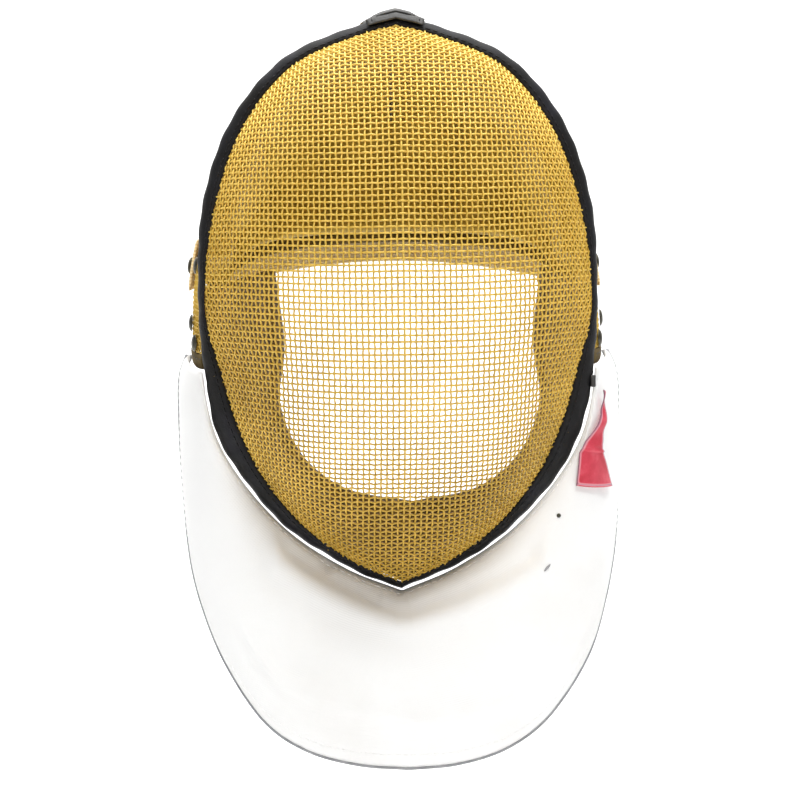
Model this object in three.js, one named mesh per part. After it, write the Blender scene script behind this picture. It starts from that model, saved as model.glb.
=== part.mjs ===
// A fencing mask. Millimetres, +Z up, the mask faces -Y and +X is the viewer's right.
// The origin is where the crown of the wearer's head meets the padding inside.
import * as THREE from "three";
import { mergeVertices } from "three/addons/utils/BufferGeometryUtils.js";

// Driving sizes
const FACE_WIDTH = 204.5; // outside of the trim at the temples
const FACE_HEIGHT = 292; // outside of the trim from its top to the chin
const FACE_DEPTH = 98; // from the front of the crease back to the edge at the chin
const TOP_ABOVE_SEAT = 12; // top of the trim above the head seat
const CREASE_AHEAD = 140; // front of the crease ahead of the head seat
const CREASE_SLOPE = 0.48; // share of the side-to-side depth that rises straight from the crease
const ROUNDING = 4; // power of the rounded rest of that depth
const NOSE_PLACE = 0.495; // share of the face height at which the crease is foremost
const EAR_PLACE = 0.585; // share at which the crown mesh ends
const MESH_WALL = 2; // woven wire
const TRIM_BAND = 11; // widest front leg of the trim
const TRIM_WALL = 3;
const TRIM_LIP = 1.5; // stands this far ahead of the mesh
const TRIM_FOLD = 7; // front leg to rear leg
const TRIM_LEG = 9; // rear leg
const CROWN_DEPTH = 130; // scale of the crown's arch
const REAR_BACK = 64; // rear rim behind the head seat
const REAR_DROP = 88; // rear rim below the head seat, at the middle
const REAR_HALF_WIDTH = 105; // rear rim at the ears
const REAR_EAR_DROP = 61; // ears' end of the rear rim below its middle
const TAPE_WIDTH = 7; // binding of the rear rim
const TAPE_WALL = 3.2;
const CROWN_PAD = 14;
const CHIN_PAD = 8;
const OPENING_HALF_WIDTH = 72; // between the cheek pads
const OPENING_BOTTOM = 237; // chin pad's rear edge below the head seat
const OPENING_BACK = 36; // cheek pads' rear edge behind the head seat
const OPENING_SHIFT = 8; // the loose pads sit this far to the viewer's right
const CHIN_PAD_PLACE = 0.475; // share of the face height at which the chin pad starts
const BIB_WALL = 3.5;
const BIB_HALF_WIDTH = 115.5;
const BIB_DROP = 369.5; // bottom of the bib below the head seat
const BIB_AHEAD = 66; // bottom of the bib ahead of the head seat
const BIB_WING_BACK = 24; // wings' rear corners behind the head seat
const BIB_SWING = 1.5; // the bib hangs this far to the viewer's right
const BIB_EAR_PLACE = 0.612; // share at which the bib starts
const TONGUE_WIDTH = 30;
const TONGUE_WALL = 1.2;
const TONGUE_TAIL = 6; // past the rear rim
const TONGUE_FLARE = 1; // the tail bends this far back
const COVER_WIDTH = 20;
const COVER_WALL = 1;
const STRAP_WIDTH = 25;
const STRAP_WALL = 1.6;
const STRAP_DROP = 110; // middle of the strap's ends below the head seat
const STRAP_BELOW_RIM = 5; // middle of the strap below the rear rim, behind the head
const STRAP_SLACK = 9; // back of the strap behind the rear rim
const TEMPLE_RIVET_DROP = 111; // rivets below the head seat
const EAR_RIVET_DROP = 141;
const CORNER_RIVET_DROP = 152;
const RIVET_RADIUS = 4.4;
const RIVET_HEIGHT = 1.8;
const PATCH_WALL = 0.8;
const TAB_SIZE = [4.2, 5, 6];
const TAB_PLACE = 0.638; // share of the face height at which the tab is sewn on
const CLEAR = 0.3; // between pieces that touch

// Smoothness
const STATIONS = 28; // steps from the top of the face to the chin
const RINGS = 8; // rings of the face mesh
const CROWN_STEPS = 14; // steps from the crown's middle to each ear
const CROWN_RINGS = 9;
const BIB_STEPS = 18; // steps from the bib's middle to each wing
const BIB_RINGS = 11;
const CHIN_PAD_STEPS = 24;
const CHIN_PAD_RINGS = 5;
const TONGUE_RINGS = 9; // along the crown
const COVER_ROWS = { first: 1, end: 7 }; // the tongue's rows that its cover lies on
const EDGE_STEPS = 200; // places at which the mesh's visible edge is measured
const SMALL_STEP = 0.004; // of a place on the crown, for its normals
const PAD_ENDS = 3; // crown steps that the crown pad stops short of each ear
const PAD_INSET = 0.5; // share of a crown ring that it stops short of the trim
const PAD_REAR_INSET = 0.08; // and of the rear rim

// The trim's outline from its top to the chin, in shares of the face height and half width
const OUTLINE = [
  { height: 0, width: 0 },
  { height: 0.018, width: 0.2 },
  { height: 0.072, width: 0.561 },
  { height: 0.18, width: 0.828 },
  { height: 0.32, width: 0.97 },
  { height: 0.46, width: 1 },
  { height: 0.6, width: 0.98 },
  { height: 0.74, width: 0.895 },
  { height: 0.88, width: 0.601 },
  { height: 0.96, width: 0.275 },
  { height: 1, width: 0 },
];
// The trim's front leg, in shares of its widest
const BAND = [
  { height: 0, width: 0.5 },
  { height: 0.15, width: 0.64 },
  { height: 0.32, width: 0.6 },
  { height: 0.46, width: 0.34 },
  { height: 0.53, width: 0.36 },
  { height: 0.6, width: 0.68 },
  { height: 0.67, width: 0.92 },
  { height: 0.74, width: 1 },
  { height: 0.81, width: 0.82 },
  { height: 0.88, width: 0.62 },
  { height: 0.95, width: 0.4 },
  { height: 1, width: 0.28 },
];
// The face in side view: how far the crease and the edge lie behind the crease's front
const PROFILE = [
  { height: 0.019, crease: 0.714, edge: 0.714 },
  { height: 0.075, crease: 0.44, edge: 0.74 },
  { height: 0.128, crease: 0.29, edge: 0.76 },
  { height: 0.18, crease: 0.19, edge: 0.775 },
  { height: 0.232, crease: 0.118, edge: 0.79 },
  { height: 0.32, crease: 0.052, edge: 0.815 },
  { height: 0.407, crease: 0.016, edge: 0.835 },
  { height: NOSE_PLACE, crease: 0, edge: 0.85 },
  { height: 0.582, crease: 0.006, edge: 0.865 },
  { height: 0.67, crease: 0.055, edge: 0.882 },
  { height: 0.757, crease: 0.2, edge: 0.9 },
  { height: 0.844, crease: 0.42, edge: 0.92 },
  { height: 0.932, crease: 0.7, edge: 0.938 },
  { height: 0.99, crease: 0.95, edge: 0.95 },
];
// The crown's arch from the middle (0) to the ear (1), in shares of the crown's depth:
// how far its handles lie outside, behind and above the trim and the rear rim
const ARCH = [
  { place: 0, trimOut: 0.11, trimBack: 0.4, rimOut: 0, rimBack: 0.085, rimRise: 0.77 },
  { place: 0.25, trimOut: 0.08, trimBack: 0.39, rimOut: 0.07, rimBack: 0.08, rimRise: 0.68 },
  { place: 0.5, trimOut: 0, trimBack: 0.34, rimOut: 0.07, rimBack: 0.045, rimRise: 0.43 },
  { place: 0.75, trimOut: 0, trimBack: 0.24, rimOut: 0.06, rimBack: -0.045, rimRise: 0.18 },
  { place: 1, trimOut: 0.06, trimBack: 0.12, rimOut: 0.02, rimBack: -0.13, rimRise: -0.015 },
];
// The rear rim from its middle to the ear: shares of its half width, of the
// distance behind the head seat and of the drop to the ears
const REAR_RIM = [
  { width: 0, back: 1, drop: 0 },
  { width: 0.355, back: 0.985, drop: 0.033 },
  { width: 0.673, back: 0.875, drop: 0.13 },
  { width: 0.888, back: 0.656, drop: 0.344 },
  { width: 0.981, back: 0.437, drop: 0.64 },
  { width: 1, back: 0.19, drop: 1 },
];
// The opening between the chin pad's edges, from its bottom to the ear: shares of the
// opening's half width, of its distance back and of the height from its bottom to the rear rim
const OPENING = [
  { width: 0, back: 0.1, rise: 0 },
  { width: 0.5, back: 0.14, rise: 0.05 },
  { width: 0.82, back: 0.24, rise: 0.17 },
  { width: 0.98, back: 0.42, rise: 0.36 },
  { width: 0.94, back: 0.66, rise: 0.56 },
  { width: 1.0, back: 0.8, rise: 0.82 },
];
// The bib's free edge from its bottom to the wing's corner: shares of its half width, of
// the way from the bottom's place ahead to the wing's place behind, and of the rise to the ear
const BIB_EDGE = [
  { width: 0, back: 0, rise: 0 },
  { width: 0.215, back: 0.01, rise: 0.01 },
  { width: 0.43, back: 0.045, rise: 0.043 },
  { width: 0.605, back: 0.1, rise: 0.107 },
  { width: 0.79, back: 0.24, rise: 0.252 },
  { width: 0.885, back: 0.38, rise: 0.397 },
  { width: 0.94, back: 0.53, rise: 0.537 },
  { width: 0.97, back: 0.69, rise: 0.677 },
  { width: 0.985, back: 0.82, rise: 0.827 },
  { width: 0.985, back: 0.93, rise: 0.95 },
  { width: 0.955, back: 1, rise: 1 },
];
// The bib's fullness from its middle (0) to the wing (1), in shares of its drop below the
// chin: how far its handles stand out from the trim and from the free edge
const FULLNESS = [
  { place: 0, out: 0.2, ahead: 0.34, edgeOut: 0, edgeAhead: 0.07, edgeRise: 0.38 },
  { place: 0.3, out: 0.19, ahead: 0.3, edgeOut: 0.04, edgeAhead: 0.09, edgeRise: 0.28 },
  { place: 0.6, out: 0.14, ahead: 0.13, edgeOut: 0.065, edgeAhead: 0.11, edgeRise: 0.09 },
  { place: 0.85, out: 0.1, ahead: 0.03, edgeOut: 0.055, edgeAhead: 0.11, edgeRise: 0.04 },
  { place: 1, out: 0.07, ahead: -0.05, edgeOut: 0.045, edgeAhead: 0.13, edgeRise: 0.02 },
];
// The patch from its tip to its foot: places across the bib's half (0 middle, 1 wing) of
// its two edges, and down from the trim (0) to the free edge (1)
const PATCH = [
  { inner: 0.935, outer: 0.925, innerDown: 0.17, outerDown: 0.21 },
  { inner: 0.86, outer: 0.84, innerDown: 0.2, outerDown: 0.3 },
  { inner: 0.77, outer: 0.78, innerDown: 0.1, outerDown: 0.26 },
  { inner: 0.73, outer: 0.76, innerDown: 0.1, outerDown: 0.34 },
  { inner: 0.63, outer: 0.71, innerDown: 0.2, outerDown: 0.6 },
];
// Where the strap lies on the crown, in shares of the way from the trim to the rim, and
// behind the head, in shares of the rim's half width
const STRAP_ON_CROWN = [0.58, 0.66, 0.74, 0.82, 0.91, 1];
const STRAP_BEHIND = [-0.86, -0.66, -0.42, -0.16, 0.16, 0.42, 0.66, 0.86];
// Rivets: drop below the head seat, share of the way from the trim to the rim, and whether
// the strap's end lies under the head
const RIVETS = [
  { name: "strap_rivet", drop: STRAP_DROP, back: 0.68, onStrap: true },
  { name: "temple_rivet", drop: TEMPLE_RIVET_DROP, back: 0.36, onStrap: false },
  { name: "ear_rivet", drop: EAR_RIVET_DROP, back: 0.45, onStrap: false },
  { name: "corner_rivet", drop: CORNER_RIVET_DROP, back: 0.24, onStrap: false },
];

// Places inside the face and the bib that tell outward from inward
const FACE_CENTRE = new THREE.Vector3(0, 0, TOP_ABOVE_SEAT - FACE_HEIGHT / 2);
const BIB_CENTRE = new THREE.Vector3(0, REAR_BACK, -BIB_DROP * 0.6);

// Smooth value of one column of a table at a place along it, by cubic steps between its rows
function read(table, along, column, at) {
  const last = table.length - 1;
  const place = THREE.MathUtils.clamp(at, table[0][along], table[last][along]);
  let i = 0;
  while (i < last - 1 && place > table[i + 1][along]) i += 1;
  const slope = (a, b) => (table[b][column] - table[a][column]) / (table[b][along] - table[a][along]);
  const step = table[i + 1][along] - table[i][along];
  const start = slope(Math.max(i - 1, 0), i + 1) * step;
  const end = slope(i, Math.min(i + 2, last)) * step;
  const t = (place - table[i][along]) / step;
  const a = table[i][column];
  const b = table[i + 1][column];
  const bend = 3 * (b - a) - 2 * start - end;
  return a + start * t + bend * t * t + (start + end - 2 * (b - a)) * t * t * t;
}

function smoothCurve(points) {
  const curve = new THREE.CatmullRomCurve3(points, false, "centripetal");
  curve.arcLengthDivisions = 400;
  return curve;
}

function steps(count) {
  return Array.from({ length: count + 1 }, (_, i) => i / count);
}

function lerp(a, b, t) {
  return a + (b - a) * t;
}

const heightAt = (share) => TOP_ABOVE_SEAT - share * FACE_HEIGHT;
const shareAt = (z) => (TOP_ABOVE_SEAT - z) / FACE_HEIGHT;

const outline = smoothCurve(
  OUTLINE.map((row) => new THREE.Vector3((row.width * FACE_WIDTH) / 2, 0, heightAt(row.height))),
);
const outlineLength = outline.getLength();

// A place on the trim's outline: side is -1 or 1 and u runs from the top (0) to the chin (1)
function station(side, u) {
  const point = outline.getPointAt(u);
  const along = outline.getTangentAt(u);
  const middle = u < 1e-6 || u > 1 - 1e-6;
  const normal = middle ? [0, u < 0.5 ? 1 : -1] : [-along.z * side, along.x];
  const share = shareAt(point.z);
  return {
    x: point.x * side,
    z: point.z,
    normal,
    band: TRIM_BAND * read(BAND, "height", "width", share),
    edge: -CREASE_AHEAD + FACE_DEPTH * read(PROFILE, "height", "edge", share),
  };
}

// The outline's place at a share of the face height
function placeAt(share) {
  let low = 0;
  let high = 1;
  for (let i = 0; i < 40; i += 1) {
    const middle = (low + high) / 2;
    if (shareAt(outline.getPointAt(middle).z) < share) low = middle;
    else high = middle;
  }
  return low;
}
const earPlace = placeAt(EAR_PLACE);
const bibEarPlace = placeAt(BIB_EAR_PLACE);

function beside(s, out, y) {
  return new THREE.Vector3(s.x + s.normal[0] * out, y, s.z + s.normal[1] * out);
}

// Outward normals of a grid of points, turned away from a centre
function normalsOf(grid, centre, looped) {
  const rows = grid.length;
  return grid.map((row, i) =>
    row.map((point, j) => {
      const before = looped ? grid[(i + rows - 1) % rows] : grid[Math.max(i - 1, 0)];
      const after = looped ? grid[(i + 1) % rows] : grid[Math.min(i + 1, rows - 1)];
      const inner = Math.max(j, 1);
      const across = after[inner].clone().sub(before[inner]);
      const down = row[Math.min(j + 1, row.length - 1)].clone().sub(row[Math.max(j - 1, 0)]);
      const normal = across.cross(down).normalize();
      return normal.dot(point.clone().sub(centre)) < 0 ? normal.negate() : normal;
    }),
  );
}

function moved(grid, normals, distance) {
  return grid.map((row, i) => row.map((p, j) => p.clone().addScaledVector(normals[i][j], distance)));
}

// A closed wall between two grids of points with the same count; a looped wall joins its ends
function wall(outer, inner, looped) {
  const rows = outer.length;
  const columns = outer[0].length;
  const at = (side, i, j) => side * rows * columns + (i % rows) * columns + j;
  const triangles = [];
  const quad = (a, b, c, d) => triangles.push([a, b, c], [a, c, d]);
  const bands = looped ? rows : rows - 1;
  for (let i = 0; i < bands; i += 1) {
    for (let j = 0; j < columns - 1; j += 1) {
      quad(at(0, i, j), at(0, i + 1, j), at(0, i + 1, j + 1), at(0, i, j + 1));
      quad(at(1, i, j + 1), at(1, i + 1, j + 1), at(1, i + 1, j), at(1, i, j));
    }
    quad(at(1, i, 0), at(1, i + 1, 0), at(0, i + 1, 0), at(0, i, 0));
    const end = columns - 1;
    quad(at(0, i, end), at(0, i + 1, end), at(1, i + 1, end), at(1, i, end));
  }
  for (let j = 0; !looped && j < columns - 1; j += 1) {
    quad(at(0, 0, j), at(0, 0, j + 1), at(1, 0, j + 1), at(1, 0, j));
    const end = rows - 1;
    quad(at(1, end, j), at(1, end, j + 1), at(0, end, j + 1), at(0, end, j));
  }
  return closedBody([...outer.flat(), ...inner.flat()], triangles.flat());
}

// Merges equal corners, drops the triangles that a pole folds away and faces the rest outward
function closedBody(points, index) {
  const loose = new THREE.BufferGeometry();
  loose.setAttribute("position", new THREE.Float32BufferAttribute(points.flatMap((p) => p.toArray()), 3));
  loose.setIndex(index);
  const merged = mergeVertices(loose, 1e-4);
  const place = merged.getAttribute("position");
  const corner = (k) => new THREE.Vector3().fromBufferAttribute(place, k);
  const kept = [];
  let volume = 0;
  for (let k = 0; k < merged.index.count; k += 3) {
    const [a, b, c] = [0, 1, 2].map((n) => merged.index.getX(k + n));
    if (a === b || b === c || c === a) continue;
    kept.push([a, b, c]);
    volume += corner(a).dot(corner(b).cross(corner(c)));
  }
  const body = new THREE.BufferGeometry();
  body.setAttribute("position", place.clone());
  body.setIndex(kept.flatMap(([a, b, c]) => (volume < 0 ? [a, c, b] : [a, b, c])));
  body.computeVertexNormals();
  return body;
}

// Both sides of the outline in one ring, from the top round by the chin and back
function ring() {
  const right = steps(STATIONS).map((u) => station(1, u));
  const left = steps(STATIONS).map((u) => station(-1, u));
  return [...right, ...left.slice(1, -1).reverse()];
}

// The trim folds from its front lip over the outline to its rear leg
function trimGeometry() {
  const rear = TRIM_FOLD + TRIM_LEG;
  const outer = ring().map((s) => [
    beside(s, -s.band, s.edge - TRIM_LIP),
    beside(s, -s.band / 2, s.edge - TRIM_LIP + TRIM_FOLD * 0.2),
    beside(s, -TRIM_WALL * 0.1, s.edge + TRIM_FOLD * 0.55),
    beside(s, 0, s.edge + TRIM_FOLD),
    beside(s, 0, s.edge + rear),
  ]);
  const inner = ring().map((s) => [
    beside(s, -s.band, s.edge - TRIM_LIP + TRIM_WALL),
    beside(s, -Math.max(s.band, TRIM_WALL), s.edge + TRIM_WALL),
    beside(s, -TRIM_WALL, s.edge + TRIM_FOLD * 0.8),
    beside(s, -TRIM_WALL, s.edge + TRIM_FOLD),
    beside(s, -TRIM_WALL, s.edge + rear),
  ]);
  return wall(outer, inner, true);
}

// The mesh's visible edge, as half widths from the top down
const visibleEdge = steps(EDGE_STEPS).map((u) => {
  const s = station(1, u);
  return beside(s, -s.band, 0);
});

function edgeHalfWidth(z) {
  let i = 0;
  while (i < visibleEdge.length - 2 && visibleEdge[i + 1].z > z) i += 1;
  const a = visibleEdge[i];
  const b = visibleEdge[i + 1];
  const t = THREE.MathUtils.clamp((a.z - z) / (a.z - b.z), 0, 1);
  return Math.max(lerp(a.x, b.x, t), 0.01);
}

// Depth of the face mesh: straight off the crease, then rounded back to the edge
function faceDepth(x, z) {
  const share = shareAt(z);
  const crease = read(PROFILE, "height", "crease", share);
  const edge = read(PROFILE, "height", "edge", share);
  const across = Math.min(Math.abs(x) / edgeHalfWidth(z), 1);
  const turn = CREASE_SLOPE * across + (1 - CREASE_SLOPE) * across ** ROUNDING;
  return -CREASE_AHEAD + FACE_DEPTH * (crease + (edge - crease) * turn);
}

// The face mesh in rings from the front of its crease out to the trim
function faceGeometry() {
  const nose = new THREE.Vector3(0, 0, heightAt(NOSE_PLACE));
  const outer = ring().map((s) => {
    const rim = beside(s, -s.band - CLEAR, 0);
    return steps(RINGS).map((r) => {
      const point = nose.clone().lerp(rim, r ** 0.85);
      point.y = faceDepth(point.x, point.z);
      return point;
    });
  });
  const inner = moved(outer, normalsOf(outer, FACE_CENTRE, true), -MESH_WALL);
  inner.forEach((row) => row[0].set(nose.x, -CREASE_AHEAD + MESH_WALL, nose.z));
  return wall(outer, inner, true);
}

const rearRim = smoothCurve(
  REAR_RIM.map(
    (row) =>
      new THREE.Vector3(
        row.width * REAR_HALF_WIDTH,
        row.back * REAR_BACK,
        -REAR_DROP - row.drop * REAR_EAR_DROP,
      ),
  ),
);
const rearRimLength = rearRim.getLength();

// The middle of the crown's wall: place runs from ear (-1) over the top (0) to ear (1),
// back from the trim (0) to the rear rim (1)
function crownPoint(place, back) {
  const side = place < 0 ? -1 : 1;
  const share = Math.min(Math.abs(place), 1);
  const s = station(side, share * earPlace);
  const row = (column) => CROWN_DEPTH * read(ARCH, "place", column, share);
  const front = beside(s, -TRIM_WALL / 2, s.edge + TRIM_FOLD + TRIM_LEG + CLEAR);
  const frontHandle = beside(s, -TRIM_WALL / 2 + row("trimOut"), front.y + row("trimBack"));
  const rim = rearRim.getPointAt(share);
  rim.x *= side;
  const shift = new THREE.Vector3(side * row("rimOut"), row("rimBack"), row("rimRise"));
  const rimHandle = rim.clone().add(shift);
  return new THREE.CubicBezierCurve3(front, frontHandle, rimHandle, rim).getPoint(back);
}

// A place on the crown with its outward normal, which lies across the trim at the trim's edge
function crownFrame(place, back) {
  const step = SMALL_STEP;
  const low = Math.max(Math.abs(place) - step, 0) * Math.sign(place || 1);
  const high = place + step * Math.sign(place || 1);
  const inside = Math.abs(high) > 1 ? place : high;
  const across = crownPoint(inside, back).sub(crownPoint(place === 0 ? -step : low, back));
  const along = crownPoint(place, Math.min(back + step, 1)).sub(crownPoint(place, Math.max(back - step, 0)));
  const point = crownPoint(place, back);
  const normal = across.clone().cross(along).normalize();
  if (normal.dot(point.clone().sub(FACE_CENTRE)) < 0) normal.negate();
  normal.y *= THREE.MathUtils.smoothstep(back, 0, 0.1);
  return { point, normal: normal.normalize(), along: along.normalize(), across: across.normalize() };
}

function onCrown(place, back, distance) {
  const { point, normal } = crownFrame(place, back);
  return point.addScaledVector(normal, distance);
}

const crownPlaces = steps(2 * CROWN_STEPS).map((share) => 2 * share - 1);

// A layer at a distance from the crown's middle, on the crown's own facets
function crownLayer(distance) {
  return crownPlaces.map((place) => steps(CROWN_RINGS).map((back) => onCrown(place, back, distance)));
}

function crownGeometry() {
  return wall(crownLayer(MESH_WALL / 2), crownLayer(-MESH_WALL / 2), false);
}

// The padding stops short of the ears, of the trim and of the rear rim
function crownPadGeometry() {
  const outside = -MESH_WALL / 2 - 2 * CLEAR;
  const trimmed = (distance) =>
    crownLayer(distance)
      .slice(PAD_ENDS, -PAD_ENDS)
      .map((row) => {
        const front = row[0].clone().lerp(row[1], PAD_INSET);
        const rear = row[CROWN_RINGS].clone().lerp(row[CROWN_RINGS - 1], PAD_REAR_INSET);
        return [front, ...row.slice(1, -1), rear];
      });
  return wall(trimmed(outside), trimmed(outside - CROWN_PAD), false);
}

// The crown's free border from one trim end round the rear rim to the other, with the
// direction that leads off the mesh there, which is shorter at the corners
function crownBorder() {
  const backs = [0.04, 0.25, 0.5, 0.75, 0.94];
  const lower = (side) =>
    backs.map((back) => {
      const { point, normal, across } = crownFrame(side, back);
      if (across.z > 0) across.negate();
      return { point, normal, away: across };
    });
  const rear = crownPlaces.slice(1, -1).map((place) => {
    const { point, normal, along } = crownFrame(place, 1);
    return { point, normal, away: along };
  });
  const corner = (side) => {
    const { point, normal, along, across } = crownFrame(side, 1);
    if (across.z > 0) across.negate();
    return { point, normal, away: along.add(across).multiplyScalar(0.75) };
  };
  return [...lower(-1), corner(-1), ...rear, corner(1), ...lower(1).reverse()];
}

function rearTrimGeometry() {
  const layer = (lift) =>
    crownBorder().map(({ point, normal, away }) =>
      [0, 0.5, 1].map((share) => {
        const round = share === 0.5 ? 1 : 0.7;
        const reach = CLEAR + share * TAPE_WIDTH;
        return point.clone().addScaledVector(away, reach).addScaledVector(normal, lift * round);
      }),
    );
  return wall(layer(TAPE_WALL / 2), layer(-TAPE_WALL / 2), false);
}

// The chin pad reaches from inside the trim back to the opening's edge
function chinPadGeometry() {
  const rise = OPENING_BOTTOM - REAR_DROP;
  const edge = smoothCurve(
    OPENING.map(
      (row) =>
        new THREE.Vector3(
          row.width * OPENING_HALF_WIDTH,
          row.back * OPENING_BACK,
          -OPENING_BOTTOM + row.rise * rise,
        ),
    ),
  );
  const inset = TRIM_WALL + CLEAR + CHIN_PAD / 2;
  const start = placeAt(CHIN_PAD_PLACE);
  const middle = steps(CHIN_PAD_STEPS).map((share) => {
    const place = 2 * share - 1;
    const side = place < 0 ? -1 : 1;
    const s = station(side, lerp(1, start, Math.abs(place)));
    const front = beside(s, -inset, s.edge + TRIM_FOLD + TRIM_WALL);
    const rear = edge.getPointAt(Math.abs(place));
    rear.x = rear.x * side + OPENING_SHIFT;
    const hollow = front.clone().lerp(rear, 0.5);
    hollow.addScaledVector(new THREE.Vector3(s.normal[0], 0.3, s.normal[1]), CHIN_PAD * 0.9);
    const curve = new THREE.QuadraticBezierCurve3(front, hollow, rear);
    return steps(CHIN_PAD_RINGS).map((t) => curve.getPoint(t));
  });
  return wallAbout(middle, FACE_CENTRE, CHIN_PAD / 2, -CHIN_PAD / 2);
}

const bibEdge = smoothCurve(
  BIB_EDGE.map(
    (row) =>
      new THREE.Vector3(
        row.width * BIB_HALF_WIDTH,
        lerp(-BIB_AHEAD, BIB_WING_BACK, row.back),
        lerp(-BIB_DROP, heightAt(BIB_EAR_PLACE) + TRIM_LEG, row.rise),
      ),
  ),
);

// The middle of the bib's cloth: place runs from wing (-1) by the middle (0) to wing (1),
// down from the trim (0) to the free edge (1)
function bibPoint(place, down) {
  const side = place < 0 ? -1 : 1;
  const share = Math.min(Math.abs(place), 1);
  const s = station(side, lerp(1, bibEarPlace, share));
  const fall = BIB_DROP + heightAt(1);
  const row = (column) => fall * read(FULLNESS, "place", column, share);
  const first = CLEAR + BIB_WALL / 2;
  const start = beside(s, first, s.edge + TRIM_FOLD + TRIM_LEG / 2);
  const startHandle = beside(s, first + row("out"), start.y - row("ahead"));
  const end = bibEdge.getPointAt(share);
  end.x = end.x * side + BIB_SWING;
  const shift = new THREE.Vector3(side * row("edgeOut"), -row("edgeAhead"), row("edgeRise"));
  return new THREE.CubicBezierCurve3(start, startHandle, end.clone().add(shift), end).getPoint(down);
}

// A wall round a grid of middle points, from one distance out of it to another
function wallAbout(middle, centre, far, near) {
  const normals = normalsOf(middle, centre, false);
  return wall(moved(middle, normals, far), moved(middle, normals, near), false);
}

function bibGeometry() {
  const middle = steps(2 * BIB_STEPS).map((share) =>
    steps(BIB_RINGS).map((down) => bibPoint(2 * share - 1, down)),
  );
  return wallAbout(middle, BIB_CENTRE, BIB_WALL / 2, -BIB_WALL / 2);
}

function patchGeometry() {
  const lift = BIB_WALL / 2 + 3 * CLEAR;
  const middle = PATCH.map((row) =>
    steps(3).map((share) =>
      bibPoint(lerp(row.inner, row.outer, share), lerp(row.innerDown, row.outerDown, share)),
    ),
  );
  return wallAbout(middle, BIB_CENTRE, lift + PATCH_WALL, lift);
}

// The tongue's strip: over the trim's top, along the crown and past the rear rim
function tongueGrid(width, lift) {
  const across = [-1, -0.5, 0, 0.5, 1];
  const line = (share) => {
    const half = (width / 2) * share;
    const s = station(half < 0 ? -1 : 1, Math.abs(half) / outlineLength);
    const rear = s.edge + TRIM_FOLD + TRIM_LEG;
    const overTrim = [
      beside(s, -s.band * 0.5, s.edge - TRIM_LIP - lift),
      beside(s, lift * 0.4, s.edge + TRIM_FOLD * 0.2 - lift),
      beside(s, lift, s.edge + TRIM_FOLD * 0.8),
      beside(s, lift, rear),
    ];
    const place = (back) =>
      lerp(half / (outlineLength * earPlace), half / rearRimLength, back);
    const overCrown = steps(TONGUE_RINGS)
      .slice(1)
      .map((back) => onCrown(place(back), back, TAPE_WALL / 2 - CLEAR + lift));
    const { point, normal, along } = crownFrame(place(1), 1);
    const tail = [0.3, 0.6, 0.85, 1].map((reach) =>
      point
        .clone()
        .addScaledVector(along, reach * TONGUE_TAIL)
        .addScaledVector(normal, TAPE_WALL / 2 - CLEAR + lift + TONGUE_FLARE * reach ** 2),
    );
    return [...overTrim, ...overCrown, ...tail];
  };
  return across.map(line);
}

const WHOLE = { first: 0, end: Infinity };

function tongueWall(width, rows, bottom, thickness) {
  const layer = (lift) => tongueGrid(width, lift).map((line) => line.slice(rows.first, rows.end));
  return wall(layer(bottom + thickness), layer(bottom), false);
}

// The crown's place at a height below the head seat, on the line that is this far back
function crownPlaceAt(drop, back) {
  let low = 0;
  let high = 1;
  for (let i = 0; i < 30; i += 1) {
    const middle = (low + high) / 2;
    if (crownPoint(middle, back).z > -drop) low = middle;
    else high = middle;
  }
  return low;
}

const strapLift = TAPE_WALL / 2 + 2 * CLEAR + STRAP_WALL / 2;

// The strap lies on the crown from its riveted ends to the rear rim and sags behind the head
function strapGeometry() {
  const crownHeight = outlineLength * earPlace;
  const side = (sign) =>
    STRAP_ON_CROWN.map((back) => {
      const place = crownPlaceAt(STRAP_DROP, back);
      const half = STRAP_WIDTH / 2 / lerp(crownHeight, rearRimLength, back);
      return [-half, 0, half].map((edge) => onCrown(sign * (place + edge), back, strapLift));
    });
  const behind = STRAP_BEHIND.map((share) => {
    const y = REAR_BACK + STRAP_SLACK - STRAP_SLACK * 3 * Math.abs(share) ** 3;
    const z = lerp(-REAR_DROP - STRAP_BELOW_RIM, -STRAP_DROP, share ** 2);
    const x = share * REAR_HALF_WIDTH;
    return [1, 0, -1].map((up) => new THREE.Vector3(x, y, z + (up * STRAP_WIDTH) / 2));
  });
  const left = side(-1);
  const right = side(1).reverse();
  const middle = [...left, ...behind, ...right];
  return wallAbout(middle, FACE_CENTRE, STRAP_WALL / 2, -STRAP_WALL / 2);
}

// A low dome on a flat edge
function rivetGeometry() {
  const dome = steps(4).map((share) => {
    const turn = (share * Math.PI) / 2;
    return new THREE.Vector2(RIVET_RADIUS * Math.cos(turn), RIVET_HEIGHT * (0.3 + 0.7 * Math.sin(turn)));
  });
  dome[dome.length - 1].x = 0;
  const profile = [new THREE.Vector2(0, 0), new THREE.Vector2(RIVET_RADIUS, 0), ...dome];
  const lathe = new THREE.LatheGeometry(profile, 12);
  lathe.deleteAttribute("normal");
  lathe.deleteAttribute("uv");
  const turned = mergeVertices(lathe);
  const place = turned.getAttribute("position");
  const points = Array.from({ length: place.count }, (_, k) =>
    new THREE.Vector3().fromBufferAttribute(place, k),
  );
  return closedBody(points, [...turned.index.array]);
}

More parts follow.
